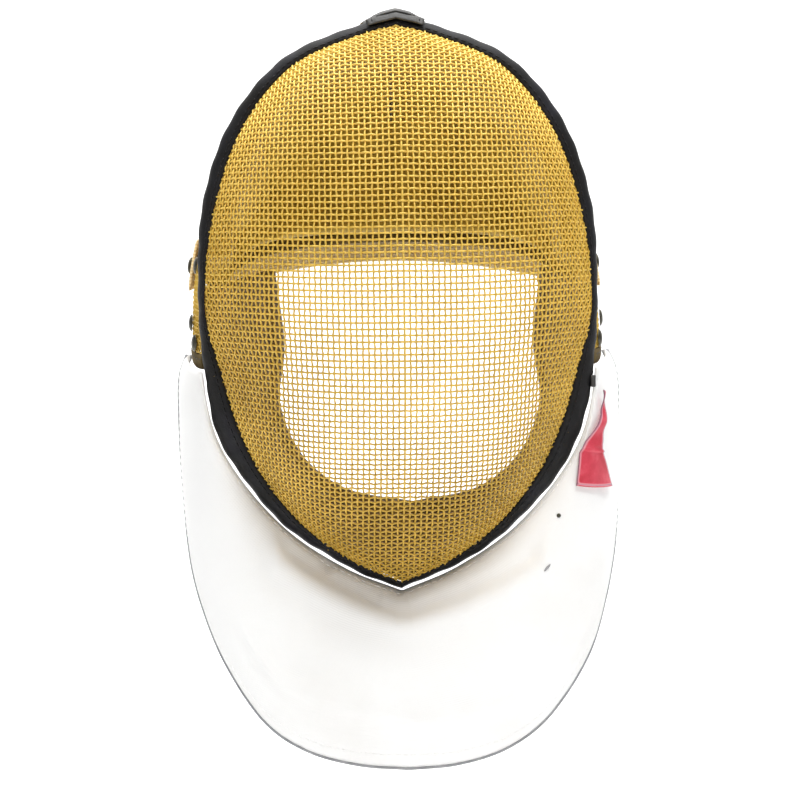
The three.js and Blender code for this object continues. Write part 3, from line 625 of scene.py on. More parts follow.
class Finish:
    """One material's nodes, all of them procedural."""

    def __init__(self, name, roughness, **sockets):
        self.material = bpy.data.materials.new(name)
        self.material.use_nodes = True
        self.nodes = self.material.node_tree.nodes
        self.links = self.material.node_tree.links
        self.shader = self.nodes["Principled BSDF"]
        self.shader.inputs["Roughness"].default_value = roughness
        for socket, value in sockets.items():
            self.shader.inputs[socket.replace("_", " ")].default_value = value
        self.place = self.nodes.new("ShaderNodeTexCoord").outputs["Object"]

    def on_cloth(self):
        """Reads the piece's own lengths along and across its cloth instead of Object coordinates."""
        own = self.nodes.new("ShaderNodeAttribute")
        own.attribute_name = "cloth_place"
        self.place = own.outputs["Vector"]

    def noise(self, scale, detail):
        """Soft mottling: so many spots to the metre, with so many finer layers on them."""
        node = self.nodes.new("ShaderNodeTexNoise")
        node.inputs["Scale"].default_value = scale
        node.inputs["Detail"].default_value = detail
        self.links.new(self.place, node.inputs["Vector"])
        return node.outputs["Fac"]

    def bands(self, pitch, direction):
        """Even ribs, one for each pitch, across X, Y or Z."""
        node = self.nodes.new("ShaderNodeTexWave")
        node.bands_direction = direction
        node.inputs["Scale"].default_value = math.pi / (10 * pitch)
        self.links.new(self.place, node.inputs["Vector"])
        return node.outputs["Fac"]

    def cells(self, scale):
        """Grain: the distance from the middle of the nearest of so many cells to the metre."""
        node = self.nodes.new("ShaderNodeTexVoronoi")
        node.inputs["Scale"].default_value = scale
        self.links.new(self.place, node.inputs["Vector"])
        return node.outputs["Distance"]

    def sum(self, *parts):
        """Adds heights, each with its share."""
        total = None
        for value, share in parts:
            scaled = self.maths("MULTIPLY", value, share)
            total = scaled if total is None else self.maths("ADD", total, scaled)
        return total

    def maths(self, operation, a, b):
        """A sum or product of two values, each of them a socket or a number."""
        node = self.nodes.new("ShaderNodeMath")
        node.operation = operation
        for socket, value in zip(node.inputs, (a, b)):
            if isinstance(value, (int, float)):
                socket.default_value = value
            else:
                self.links.new(value, socket)
        return node.outputs[0]

    def height(self):
        """The place's third length: Z, or on cloth the nearness to its edge."""
        split = self.nodes.new("ShaderNodeSeparateXYZ")
        self.links.new(self.place, split.inputs["Vector"])
        return split.outputs["Z"]

    def ramp(self, value, *stops):
        """Colours at places from 0 to 1."""
        node = self.nodes.new("ShaderNodeValToRGB")
        self.links.new(value, node.inputs["Fac"])
        elements = node.color_ramp.elements
        while len(elements) < len(stops):
            elements.new(0.5)
        for element, (at, colour) in zip(elements, stops):
            element.position = at
            element.color = (*colour, 1)
        return node.outputs["Color"]

    def tint(self, value):
        """Takes the surface's colour from a socket."""
        self.links.new(value, self.shader.inputs["Base Color"])

    def gloss(self, value, low, high):
        """Varies the roughness between two bounds."""
        node = self.nodes.new("ShaderNodeMapRange")
        node.inputs["To Min"].default_value = low
        node.inputs["To Max"].default_value = high
        self.links.new(value, node.inputs["Value"])
        self.links.new(node.outputs["Result"], self.shader.inputs["Roughness"])

    def relief(self, height, depth, strength):
        """Raises the grain to this depth in metres."""
        node = self.nodes.new("ShaderNodeBump")
        node.inputs["Distance"].default_value = depth
        node.inputs["Strength"].default_value = strength
        self.links.new(height, node.inputs["Height"])
        self.links.new(node.outputs["Normal"], self.shader.inputs["Normal"])


def gold_wire():
    """Satin gold lacquer with paler and browner patches and fine pitting, and darker towards the chin:
    painted shade for the lower mesh, which faces away from the light above.
    """
    finish = Finish("gold_wire", 0.45, Metallic=0.15)
    # Painted shade: points lower on the mask take a darker, browner colour from the ramp, down to the chin.
    up = finish.nodes.new("ShaderNodeMapRange")
    up.inputs["From Min"].default_value = -0.27
    up.inputs["From Max"].default_value = 0.0
    finish.links.new(finish.height(), up.inputs["Value"])
    patches = finish.sum(
        (finish.noise(30, 4), 0.4), (finish.noise(260, 3), 0.3), (up.outputs["Result"], 0.3),
    )
    finish.tint(finish.ramp(
        patches, (0.2, srgb(184, 148, 50)), (0.36, srgb(204, 166, 62)), (0.5, srgb(228, 190, 80)),
        (0.65, srgb(242, 206, 98)), (0.8, srgb(250, 220, 124)),
    ))
    finish.gloss(finish.noise(500, 2), 0.34, 0.55)
    finish.relief(finish.noise(2500, 2), 0.00006, 0.4)
    return finish.material


def black_binding():
    """Black leatherette: a fine grain and faint slate and brown tints."""
    finish = Finish("black_binding", 0.62, Specular_IOR_Level=0.28)
    tints = finish.noise(45, 4)
    finish.tint(finish.ramp(
        tints, (0.3, srgb(14, 11, 8)), (0.5, srgb(21, 21, 23)), (0.62, srgb(28, 27, 33)),
        (0.8, srgb(38, 40, 42)),
    ))
    finish.gloss(finish.noise(120, 3), 0.48, 0.72)
    grain = finish.sum((finish.cells(1400), 0.7), (finish.noise(500, 4), 0.6))
    finish.relief(grain, 0.00018, 0.6)
    return finish.material


def olive_tape():
    """Olive-brown woven tape."""
    finish = Finish("olive_tape", 0.85)
    finish.tint(finish.ramp(
        finish.noise(90, 4), (0.3, srgb(78, 62, 22)), (0.6, srgb(100, 82, 34)), (0.85, srgb(122, 102, 50)),
    ))
    finish.relief(finish.sum((finish.cells(1300), 0.7), (finish.noise(700, 3), 0.5)), 0.00015, 0.6)
    return finish.material


def padding(name, dark, middle, pale):
    """Brushed cloth over foam, mottled between three colours."""
    finish = Finish(name, 0.95, Sheen_Weight=0.3)
    finish.tint(finish.ramp(
        finish.noise(60, 5), (0.3, srgb(*dark)), (0.6, srgb(*middle)), (0.85, srgb(*pale)),
    ))
    finish.relief(finish.sum((finish.noise(900, 4), 1), (finish.cells(1100), 0.5)), 0.0004, 0.7)
    return finish.material


def dark_padding():
    """The padding round cheeks and chin: its dark olive is painted shade of the mask's inside seen through
    the mesh, darker than under the crown because less light reaches the chin.
    """
    return padding("dark_padding", (84, 66, 14), (104, 82, 24), (124, 100, 40))


def paler_shaded_padding():
    """The padding under the crown: its olive is painted shade of the mask's inside seen through the mesh, a
    paler copy of the chin's because more light falls from above.
    """
    return padding("paler_shaded_padding", (146, 118, 28), (174, 142, 46), (190, 160, 70))


def white_cloth():
    """Bleached woven cloth: fine crossing threads, soft clouds of a slightly darker, warmer white that are
    painted shade of faint creases, and the least yellowing.
    """
    finish = Finish("white_cloth", 0.88, Sheen_Weight=0.15)
    # Painted shade: random clouds of warmer, darker white stand in for the shade of faint creases.
    clouds = finish.noise(14, 5)
    finish.on_cloth()
    threads = finish.sum(
        (finish.bands(0.0011, "X"), 0.5), (finish.bands(0.0011, "Y"), 0.5), (finish.noise(700, 3), 0.5),
    )
    finish.tint(finish.ramp(
        clouds, (0.3, srgb(244, 243, 241)), (0.55, srgb(250, 250, 249)), (0.8, srgb(253, 253, 252)),
    ))
    finish.relief(threads, 0.00012, 0.5)
    return finish.material


def pale_binding():
    """The grey tape that is folded over the bib's edge: a real tape, whose grey, darker than the bib, is
    partly painted shade that draws the bib's outline.
    """
    finish = Finish("pale_binding", 0.85)
    finish.tint(finish.ramp(
        finish.noise(90, 4), (0.3, srgb(140, 142, 144)), (0.6, srgb(160, 161, 163)),
        (0.85, srgb(178, 178, 178)),
    ))
    finish.relief(finish.noise(1500, 3), 0.0001, 0.5)
    return finish.material


def red_cloth():
    """Red woven label with a paler, mauve hem: the hem follows the label's own lengths."""
    finish = Finish("red_cloth", 0.72, Sheen_Weight=0.2)
    body = finish.ramp(
        finish.noise(120, 4), (0.3, srgb(188, 34, 54)), (0.55, srgb(208, 56, 76)),
        (0.85, srgb(226, 98, 114)),
    )
    finish.on_cloth()
    inside = finish.height()
    hem = finish.ramp(
        inside, (0.02, srgb(150, 96, 118)), (0.1, srgb(226, 150, 160)), (0.2, srgb(217, 70, 90)),
    )
    share = finish.ramp(inside, (0.12, (1, 1, 1)), (0.2, (0, 0, 0)))
    mix = finish.nodes.new("ShaderNodeMix")
    mix.data_type = "RGBA"
    finish.links.new(share, mix.inputs["Factor"])
    finish.links.new(body, mix.inputs[6])
    finish.links.new(hem, mix.inputs[7])
    finish.tint(mix.outputs[2])
    threads = finish.sum((finish.bands(0.0009, "X"), 0.5), (finish.bands(0.0009, "Y"), 0.5))
    finish.relief(threads, 0.0001, 0.5)
    return finish.material


def grey_cover():
    """Grey leatherette with a paler, rubbed grain."""
    finish = Finish("grey_cover", 0.6)
    finish.tint(finish.ramp(
        finish.noise(110, 5), (0.3, srgb(42, 42, 42)), (0.55, srgb(68, 67, 65)), (0.8, srgb(98, 96, 93)),
    ))
    finish.relief(finish.sum((finish.cells(1300), 0.8), (finish.noise(600, 4), 0.5)), 0.0002, 0.6)
    return finish.material


def pale_elastic():
    """Cream elastic: ribs along the strap and a fine cross weave."""
    finish = Finish("pale_elastic", 0.85)
    clouds = finish.noise(50, 4)
    finish.on_cloth()
    ribs = finish.bands(0.0016, "Y")
    finish.tint(finish.ramp(
        finish.sum((clouds, 0.7), (ribs, 0.25)), (0.3, srgb(214, 186, 132)), (0.6, srgb(232, 212, 166)),
        (0.85, srgb(242, 230, 198)),
    ))
    finish.relief(finish.sum((ribs, 1), (finish.bands(0.0009, "X"), 0.4)), 0.0003, 0.7)
    return finish.material


def dark_rivet():
    """Dark oxidised metal, rubbed paler in spots."""
    finish = Finish("dark_rivet", 0.4, Metallic=0.8)
    finish.tint(finish.ramp(
        finish.noise(400, 4), (0.3, srgb(52, 50, 42)), (0.6, srgb(92, 90, 78)), (0.85, srgb(140, 134, 116)),
    ))
    finish.relief(finish.noise(1800, 3), 0.0001, 0.5)
    return finish.material


FINISHES = {make.__name__: make() for make in (
    gold_wire, black_binding, olive_tape, dark_padding, paler_shaded_padding, white_cloth, pale_binding,
    red_cloth, grey_cover, pale_elastic, dark_rivet,
)}


def finished(piece, finish):
    """Gives a piece its material."""
    piece.data.materials.clear()
    piece.data.materials.append(FINISHES[finish])
    return piece


def mark_cloth(piece, places):
    """Keeps each point's own lengths on the cloth as an attribute."""
    attribute = piece.data.attributes.new("cloth_place", "FLOAT_VECTOR", "POINT")
    attribute.data.foreach_set("vector", np.asarray(places, np.float32).ravel())


def both_skins(places):
    """A grid's values for the outer skin and again for the inner one."""
    return np.concatenate([places.reshape(-1, 3), places.reshape(-1, 3)])


def rounded_edge(rows, columns, wide):
    """1 inside a grid, falling as a quarter circle to 0 at its border over so many steps."""
    i = np.minimum(np.arange(rows), np.arange(rows)[::-1])[:, None]
    j = np.minimum(np.arange(columns), np.arange(columns)[::-1])[None, :]
    near = np.clip(np.minimum(i, j) / wide, 0, 1)
    return np.sqrt(np.maximum(1 - (1 - near) ** 2, 0)) * 0.85 + 0.15


def make_face_mesh():
    """The face's plain weave: wires that rise by the crease and wires that cross them.

    Near the outline the wires sink into the trim's binding, and they end inside it.
    """
    x, z = face_net()
    inside, edge = under_trim(x, z)
    keep = inside > WIRES_END
    surface = on_face(x, z)
    sunk = np.clip((WIRES_SINK - inside) / 0.1, 0, 1)
    surface[..., 1] += sunk * np.maximum(edge + 0.0002 - surface[..., 1], 0)
    normal = face_normals(x, z)
    rising = woven("face_rising_wires", surface, normal, keep, 1, 6)
    level = woven("face_level_wires", surface.swapaxes(0, 1), normal.swapaxes(0, 1), keep.T, -1, 6)
    for piece in (rising, level):
        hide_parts("face_mesh")
        finished(piece, "gold_wire")


def make_crown_mesh():
    """The crown's plain weave: lines back from the trim, crossed by lines a pitch apart on them."""
    reach = outline.length * EAR
    count = int(reach / PITCH)
    place = np.arange(-count, count + 1) * PITCH / reach
    fine = np.linspace(0, 1, 90)
    lines = crown_point(place[:, None], fine[None, :])
    arc = lengths_along(lines, 1)
    rows = int(arc.max() / PITCH) + 1
    steps = np.arange(rows) * PITCH
    back = np.stack([np.interp(steps, line, fine, right=2) for line in arc])
    keep = back <= 1
    back = np.minimum(back, 1)
    surface = crown_point(place[:, None], back)
    normal = crown_normal(place[:, None], back)
    lengthways = woven("crown_lengthways_wires", surface, normal, keep, 1, 5)
    crossways = woven(
        "crown_crossways_wires", surface.swapaxes(0, 1), normal.swapaxes(0, 1), keep.T, -1, 5,
    )
    for piece in (lengthways, crossways):
        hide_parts("crown_mesh")
        finished(piece, "gold_wire")


def trim_ring(count):
    """Stations right round the trim: the viewer's right from the top to the chin, then the left back up."""
    way = np.linspace(0, 2, count, endpoint=False)
    return Station(np.where(way <= 1, 1, -1), np.where(way <= 1, way, 2 - way)), way


def trim_surface(s, way, turn, leg, wall):
    """A place on the trim: a quarter ellipse from its front lip over the fold, then the rear leg.

    turn runs from 0 at the lip to a quarter turn at the fold, leg is the length past the fold and
    wall is the depth under the outer skin. The binding is pulled in between its stitches and
    ripples a little where it turns under the chin.
    """
    ripple = 0.00022 * np.sin(way * 151) + 0.00035 * np.sin(way * 43 + 1) * (np.abs(way - 1) < 0.4)
    out = -s.band + (s.band - wall) * np.sin(turn) + ripple * np.sin(turn)
    back = TRIM_FOLD - (TRIM_FOLD + TRIM_LIP - wall) * np.cos(turn) + leg
    return s.beside(out, s.edge + back)


def make_trim():
    """The black binding: a U section carried round the face, with a rolled front lip."""
    count = 420
    s, way = trim_ring(count)
    outer_turn = np.linspace(0, np.pi / 2, 11)
    legs = np.linspace(0, TRIM_LEG, 4)[1:]
    section = [(turn, 0, 0) for turn in outer_turn] + [(np.pi / 2, leg, 0) for leg in legs]
    section += [(np.pi / 2, leg, TRIM_WALL) for leg in legs[::-1]]
    section += [(turn, 0, TRIM_WALL) for turn in outer_turn[::-1]]
    rings = np.stack([trim_surface(s, way, *step) for step in section], axis=1)
    lip = (rings[:, :1] + rings[:, -1:]) / 2 + (rings[:, :1] - rings[:, 1:2]) / 2
    rings = np.concatenate([rings, lip], axis=1)
    columns = rings.shape[1]
    index = np.arange(count * columns).reshape(count, columns)
    following = np.roll(index, -1, axis=0)
    faces = np.stack([index, following, np.roll(following, -1, 1), np.roll(index, -1, 1)], axis=-1)
    piece = make_piece("trim_binding", rings, faces.reshape(-1, 4).tolist())
    face_outward(piece)
    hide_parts("face_trim")
    finished(piece, "black_binding")


def stitches(name, path, normal, length, gap, radius, finish):
    """Short round threads along a path, each sunk at both its ends.

    path and normal are arrays of points and of directions away from the cloth. The threads start
    every length plus gap, and each is six points round at five places along it.
    """
    arc = arc_lengths(path)
    count = int(arc[-1] / (length + gap))
    start = (np.arange(count) + 0.2) * (length + gap)
    share = np.linspace(0, 1, 5)
    along = start[:, None] + share[None, :] * length
    point = np.stack([np.interp(along, arc, v) for v in path.T], axis=-1)
    up = unit(np.stack([np.interp(along, arc, v) for v in normal.T], axis=-1))
    way = unit(np.gradient(point, axis=1))
    side = unit(np.cross(way, up))
    point = point + up * (radius * (1.1 * np.sin(np.pi * share) - 0.5))[None, :, None]
    turn = around(6)
    ring = side[:, :, None] * np.cos(turn)[:, None] + up[:, :, None] * np.sin(turn)[:, None]
    points = point[:, :, None] + ring * radius
    index = np.arange(count * 30).reshape(count, 5, 6)
    a, b = index[:, :-1], index[:, 1:]
    quads = np.stack([a, np.roll(a, -1, 2), np.roll(b, -1, 2), b], axis=-1).reshape(-1, 4)
    faces = quads.tolist() + index[:, 0, ::-1].tolist() + index[:, -1].tolist()
    piece = make_piece(name, points, faces)
    face_outward(piece)
    return finished(piece, finish)


def make_trim_stitches():
    """One row of black thread just outside the trim's lip."""
    s, way = trim_ring(1200)
    path = trim_surface(s, way, 0.32, 0, 0)
    normal = np.tile([0.0, -1.0, 0.0], (len(path), 1))
    stitches("trim_stitches", path, normal, 0.0026, 0.0012, 0.0003, "black_binding")


def smoothed(points):
    """The running mean of a line of points over nine of them, with its ends held."""
    mean = np.ones(9) / 9
    columns = [np.convolve(np.pad(column, 4, "edge"), mean, "valid") for column in points.T]
    return np.stack(columns, axis=-1)


def crown_border(count):
    """The crown's free border with its normals and the directions that lead off the mesh."""
    back = np.linspace(0.02, 0.97, count // 4)
    rear = np.linspace(-0.985, 0.985, count)
    places = np.concatenate([-np.ones(len(back)), rear, np.ones(len(back))])
    backs = np.concatenate([back, np.ones(count), back[::-1]])
    point = crown_point(places, backs)
    normal = crown_normal(places, backs)
    step = 0.004
    inward = np.where(np.abs(places) > 0.99, np.sign(places) * (1 - step), places)
    before = np.where(np.abs(places) > 0.99, backs, 1 - step)
    away = unit(point - crown_point(inward, before))
    return smoothed(point), unit(smoothed(normal)), unit(smoothed(away))


def make_rear_trim():
    """The tape along the rear rim: a boxy oval section that takes in the wires' ends."""
    point, normal, away = crown_border(160)
    centre = point + away * (CLEAR + TAPE_WIDTH / 2 - TAPE_BITE)
    turn = around(16)
    wide = squared_off(np.cos(turn), 0.7) * (TAPE_WIDTH / 2 + TAPE_BITE)
    thick = squared_off(np.sin(turn), 0.7) * TAPE_WALL / 2
    rings = centre[:, None] + away[:, None] * wide[:, None] + normal[:, None] * thick[:, None]
    piece = ringed_body("rear_tape", rings)
    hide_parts("rear_trim")
    finished(piece, "olive_tape")
    path = point + away * (CLEAR + 0.0016) + normal * (TAPE_WALL / 2 * 0.9)
    stitches("rear_tape_stitches", path, normal, 0.0028, 0.0014, 0.0003, "grey_cover")


def beyond(border, before, reach):
    """Carries a grid on past its border, straight on from the points before it."""
    return border + unit(border - before) * reach


def make_crown_pad():
    """Quilted padding under the crown: two skins that draw together at its border and channels.

    Channels run back at every 2/9 of the place and cross in the middle of each third of the way
    back. A hem carries both skins on under the rear tape, furthest at the top.
    """
    rows, columns = 150, 48
    place = np.linspace(-CROWN_PAD_ENDS, CROWN_PAD_ENDS, rows)[:, None]
    back = np.linspace(CROWN_PAD_FRONT, CROWN_PAD_REAR, columns)[None, :]
    outside = -(MESH_WALL / 2 + 2 * CLEAR + CROWN_PAD_GAP)
    channel = np.exp(-((np.abs((place * 4.5) % 1 - 0.5) - 0.5) / 0.05) ** 2)
    puff = 1 - 0.3 * channel - 0.12 * np.exp(-(((back * 3) % 1 - 0.5) / 0.06) ** 2)
    hem = np.arange(1, PAD_HEM_STEPS + 1) * PAD_HEM_STEP * np.clip(np.cos(place * 2.2), 0.05, 1)
    skins = []
    for distance in (outside, outside - (CROWN_PAD - CROWN_PAD_THINNER) * puff):
        skin = on_crown(place, back, distance)
        further = beyond(skin[:, -1:], skin[:, -2:-1], hem[..., None])
        skins.append(np.concatenate([skin, further], axis=1))
    outer, inner = bevelled(*skins, rounded_edge(rows, columns + PAD_HEM_STEPS, 4))
    piece = sheet_body("crown_padding", outer, inner)
    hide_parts("crown_pad")
    # The crown padding's olive is painted shade, paler than the chin's.
    finished(piece, "paler_shaded_padding")


def make_chin_pad():
    """Padding round cheeks and chin: a Bezier line from inside the trim to the opening's edge.

    Its two top ends run on by a few short steps, and a seam pulls it in along the opening.
    """
    rows, columns = 170, 30
    place = np.linspace(-1, 1, rows)
    side = np.where(place < 0, -1.0, 1.0)
    start = place_at(CHIN_PAD_PLACE)
    s = Station(side, 1 + (start - 1) * np.abs(place))
    front = s.beside(CHIN_PAD_OUT - (TRIM_WALL + CLEAR + CHIN_PAD / 2), s.edge + TRIM_FOLD + TRIM_WALL)
    rear = opening_edge.at(np.abs(place))
    rear[:, 0] = rear[:, 0] * side + OPENING_SHIFT
    bulge = np.stack([s.nx, np.full(rows, 0.3), s.nz], axis=-1) * CHIN_PAD * 0.9
    hollow = (front + rear) / 2 + bulge
    t = np.linspace(0, 1, columns)[None, :, None]
    middle = (1 - t) ** 2 * front[:, None] + 2 * (1 - t) * t * hollow[:, None] + t**2 * rear[:, None]
    tip = CHIN_PAD_TIP * np.array([3, 2, 1])[:, None, None] * np.linspace(0.2, 1, columns)[:, None]
    first = beyond(middle[:1], middle[1:2], tip)
    last = beyond(middle[-1:], middle[-2:-1], tip[::-1])
    middle = np.concatenate([first, middle, last])
    rows = len(middle)
    normal = grid_normals(middle, FACE_CENTRE)
    seam = np.exp(-((np.linspace(0, 1, columns) - 0.8) / 0.03) ** 2)[None, :]
    half = (CHIN_PAD / 2 * 0.95 * (1 - 0.35 * seam) * np.ones((rows, 1)))[..., None]
    outer, inner = bevelled(middle + normal * half, middle - normal * half, rounded_edge(rows, columns, 4))
    piece = sheet_body("chin_padding", outer, inner)
    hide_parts("chin_pad")
    # The chin padding's olive is painted shade, darker than the crown's.
    finished(piece, "dark_padding")


def ridge(place, down, line, wide):
    """A soft ridge along a line on the bib, a bell curve across it that fades out at both ends."""
    start, end = line["place"][0], line["place"][-1]
    along = np.interp(place, line["place"], line["down"])
    ends = np.clip((place - start) / 0.08, 0, 1) * np.clip((end - place) / 0.08, 0, 1)
    return np.exp(-((down - along) / wide) ** 2) * ends


CHIN_FOLD = table("place down", [
    (-0.45, 0.16), (-0.37, 0.24), (-0.16, 0.24), (0, 0.28), (0.2, 0.28), (0.39, 0.34), (0.47, 0.3),
])
HEM_FOLD = table("place down", [
    (-0.42, 0.62), (-0.25, 0.72), (-0.1, 0.71), (0.03, 0.77), (0.17, 0.75), (0.37, 0.8), (0.5, 0.78),
])


def bib_relief(place, down):
    """How far the bib's cloth stands out: a fold under the chin, a hem fold and slow waves.

    Each fold is a ridge with a shallow trough beside it. The edge flares a little at both sides.
    """
    fold = 0.0022 * ridge(place, down, CHIN_FOLD, 0.07) - 0.0013 * ridge(place, down + 0.1, CHIN_FOLD, 0.05)
    hem = 0.0010 * ridge(place, down, HEM_FOLD, 0.05) - 0.0008 * ridge(place, down - 0.09, HEM_FOLD, 0.05)
    pleat = -0.0016 * np.exp(-((place - 0.39) / 0.03) ** 2 - ((down - 0.22) / 0.16) ** 2)
    nick = -0.0014 * np.exp(-((place + 0.25) / 0.02) ** 2 - ((down - 0.06) / 0.05) ** 2)
    waves = 0.0006 * np.sin(place * 19 + 3 * down) * np.sin(down * 5 + place * 2)
    flare = 0.0020 * np.clip((np.abs(place) - 0.3) / 0.3, 0, 1) * np.clip((down - 0.8) / 0.2, 0, 1) ** 2
    return (fold + hem + pleat + nick + waves + flare) * np.clip(down / 0.06, 0, 1)


def bib_layer(place, down, distance):
    """Points at a distance from the bib's middle, which is thin where it tucks behind the trim."""
    grid = bib_point(place, down)
    normal = grid_normals(grid, BIB_CENTRE)
    relief = bib_relief(*np.broadcast_arrays(place, down))
    thinned = distance * np.clip(0.25 + down * 11, 0, 1)
    return grid + normal * (relief + thinned)[..., None], normal


def make_bib_binding(border, normal):
    """The tape folded over the bib's free edge: a flat oval carried along it."""
    turn = around(10)
    side = unit(np.cross(unit(np.gradient(border, axis=0)), normal))
    wide = np.cos(turn) * BINDING_WIDTH / 2
    thick = np.sin(turn) * (BIB_WALL / 2 + BINDING_PROUD)
    rings = border[:, None] + side[:, None] * wide[:, None] + normal[:, None] * thick[:, None]
    # The tape's grey is partly painted shade along the bib's outline.
    return finished(ringed_body("bib_edge_binding", rings), "pale_binding")


def make_bib():
    """The throat cloth: hung from the trim, with its folds, a bound edge and rows of stitches.
    """
    rows, columns = 240, 90
    place = np.linspace(-1, 1, rows)[:, None]
    down = np.linspace(0, 1, columns)[None, :]
    half = BIB_WALL / 2 - 0.0002
    outer, normal = bib_layer(place, down, half)
    inner, _ = bib_layer(place, down, -half)
    middle = (outer + inner) / 2
    across, along = lengths_along(middle, 0), lengths_along(middle, 1)
    outer, inner = bevelled(outer, inner, rounded_edge(rows, columns, 2))
    cloth = sheet_body("bib_cloth", outer, inner)
    mark_cloth(cloth, both_skins(np.stack([across, along, 0 * along], axis=-1)))
    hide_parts("bib")
    finished(cloth, "white_cloth")
    binding = make_bib_binding(middle[:, -1], normal[:, -1])

    for number, at in enumerate((0.05, 0.93), 1):
        line = np.linspace(-0.97, 0.97, 700)[:, None]
        points, normals = bib_layer(line, np.array([[at - 0.002, at]]), half)
        stitches(
            f"bib_stitches_{number}", points[:, 1], normals[:, 1], 0.0026, 0.0013, 0.00022,
            "white_cloth",
        )


def make_tack():
    """The small marks on the bib's right: a dark eyelet and a short grey tack, each a low oval dome."""
    for name, place, down, wide, high, finish, slot in [
        ("bib_eyelet", 0.53, 0.22, 0.0011, 0.0011, "dark_rivet", "dark_rivet"),
        ("bib_tack", 0.40, 0.36, 0.0026, 0.0006, "pale_binding", "white_cloth"),
    ]:
        step = 0.01
        grid = np.array([[place - step, place, place + step]]).T
        points, normals = bib_layer(grid, np.array([[down - step, down, down + step]]), BIB_WALL / 2)
        centre, normal = points[1, 1], normals[1, 1]
        across = unit(points[2, 1] - points[0, 1])
        up = np.cross(normal, across)
        turn = around(16)
        dome = table("share rise", [(1, -0.0002), (1, 0.0002), (0.6, 0.0004), (0.15, 0.00046)])
        ring = across * (np.cos(turn) * wide)[:, None] + up * (np.sin(turn) * high)[:, None]
        rings = centre + ring * dome["share"][:, None, None] + normal * dome["rise"][:, None, None]
        finished(ringed_body(name, rings), finish)


def make_patch():
    """The red label: a short sheet on the bib that narrows and puckers towards its tip.

    Its sides run straight between the table's rows, it lies off the bib by the ripples of a sine,
    and its area is the sum of its small patches, each half the cross product of its diagonals.
    """
    rows, columns = 70, 24
    row = np.linspace(0, len(PATCH["inner"]) - 1, rows)[:, None]
    share = np.linspace(0, 1, columns)[None, :]
    known = np.arange(len(PATCH["inner"]))
    edge = {k: np.interp(row, known, PATCH[k]) for k in PATCH}
    place = edge["inner"] + (edge["outer"] - edge["inner"]) * share
    down = edge["inner_down"] + (edge["outer_down"] - edge["inner_down"]) * share
    middle = bib_point(place, down)
    normal = grid_normals(middle, BIB_CENTRE)
    lift = BIB_WALL / 2 + 3 * CLEAR + np.maximum(bib_relief(place, down), 0) + PATCH_LIFT
    pucker = 0.0007 * (1 + np.sin(row * 5.5 + share * 3)) * np.clip(1.6 - row / 2, 0.15, 1)
    fold = 0.0009 * np.exp(-((row - 2.6) / 0.12) ** 2)
    lift = lift + pucker + fold
    outer = middle + normal * (lift + PATCH_WALL)[..., None]
    inner = middle + normal * lift[..., None]
    along, across = lengths_along(middle, 0), lengths_along(middle, 1)
    from_side = np.minimum(across, across[:, -1:] - across)
    from_end = np.abs(along[-1:] - along - 0.0012)
    near = np.minimum(from_side / PATCH_HEM, from_end / PATCH_HEM + 0.03)
    piece = sheet_body("red_label", outer, inner)
    mark_cloth(piece, both_skins(np.stack([across, along, np.clip(near, 0, 1)], axis=-1)))
    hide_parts("side_patch")
    finished(piece, "red_cloth")
    cloth = (outer + inner) / 2
    width = float(lengths_along(cloth, 1)[:, -1].max())
    length = float(lengths_along(cloth, 0)[-1].max())
    patches = np.cross(cloth[1:, 1:] - cloth[:-1, :-1], cloth[1:, :-1] - cloth[:-1, 1:])
    area = float(np.linalg.norm(patches, axis=-1).sum() / 2)


def tongue_points(width, lift, share):
    """A line of the tongue: over the trim's top, along the crown and past the rear rim.

    share runs from one side of the tongue (-1) to the other (1). The tail lifts off as the square
    of its reach.
    """
    half = width / 2 * share
    s = Station(-1.0 if half < 0 else 1.0, np.array(abs(half) / outline.length))
    over = [
        s.beside(-s.band * 0.5, s.edge - TRIM_LIP - lift),
        s.beside(lift * 0.4, s.edge + TRIM_FOLD * 0.2 - lift),
        s.beside(lift, s.edge + TRIM_FOLD * 0.8),
        s.beside(lift, s.edge + TRIM_FOLD + TRIM_LEG),
    ]
    back = np.linspace(0, 1, 10)[1:]
    place = half / (outline.length * EAR) * (1 - back) + half / rear_rim.length * back
    on = on_crown(place, back, TAPE_WALL / 2 - CLEAR + lift)
    last = place[-1]
    along = unit(crown_point(last, 1.0) - crown_point(last, 0.996))
    normal = crown_normal(last, 1.0)
    reach = np.array([0.3, 0.6, 0.85, 1])[:, None]
    rise = TAPE_WALL / 2 - CLEAR + lift + TONGUE_FLARE * reach**2
    tail = crown_point(last, 1.0) + along * reach * TONGUE_TAIL + normal * rise
    return np.concatenate([np.stack(over), on, tail])


def tongue_grid(width, lift, first, end, columns):
    """Smooth lines side by side along a stretch of the tongue, from its first to its end point."""
    lines = [tongue_points(width, lift, share)[first:end] for share in np.linspace(-1, 1, columns)]
    return np.stack([Curve(line, 8).line for line in lines])


def make_strip(name, node, width, low, wall, first, end):
    """A covered strip, crowned as a fourth power along its middle and drawn in along its two seams."""
    columns = 25
    share = np.linspace(-1, 1, columns)[:, None]
    top = tongue_grid(width, low + wall, first, end, columns)
    bottom = tongue_grid(width, low, first, end, columns)
    normal = unit(top - bottom)
    crowned = 0.0009 * (1 - share**4) - 0.0005 * np.exp(-((np.abs(share) - 0.84) / 0.05) ** 2)
    top = top + normal * crowned[..., None]
    top, bottom = bevelled(top, bottom, rounded_edge(columns, top.shape[1], 2))
    piece = sheet_body(name, top, bottom)
    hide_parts(node)
    finished(piece, "grey_cover")
    for side, column in (("left", 2), ("right", columns - 3)):
        up = normal[column, 2:-2]
        stitches(
            f"{name}_stitches_{side}", top[column, 2:-2] + up * 0.0001, up, 0.0024, 0.0012, 0.00025,
            "black_binding",
        )


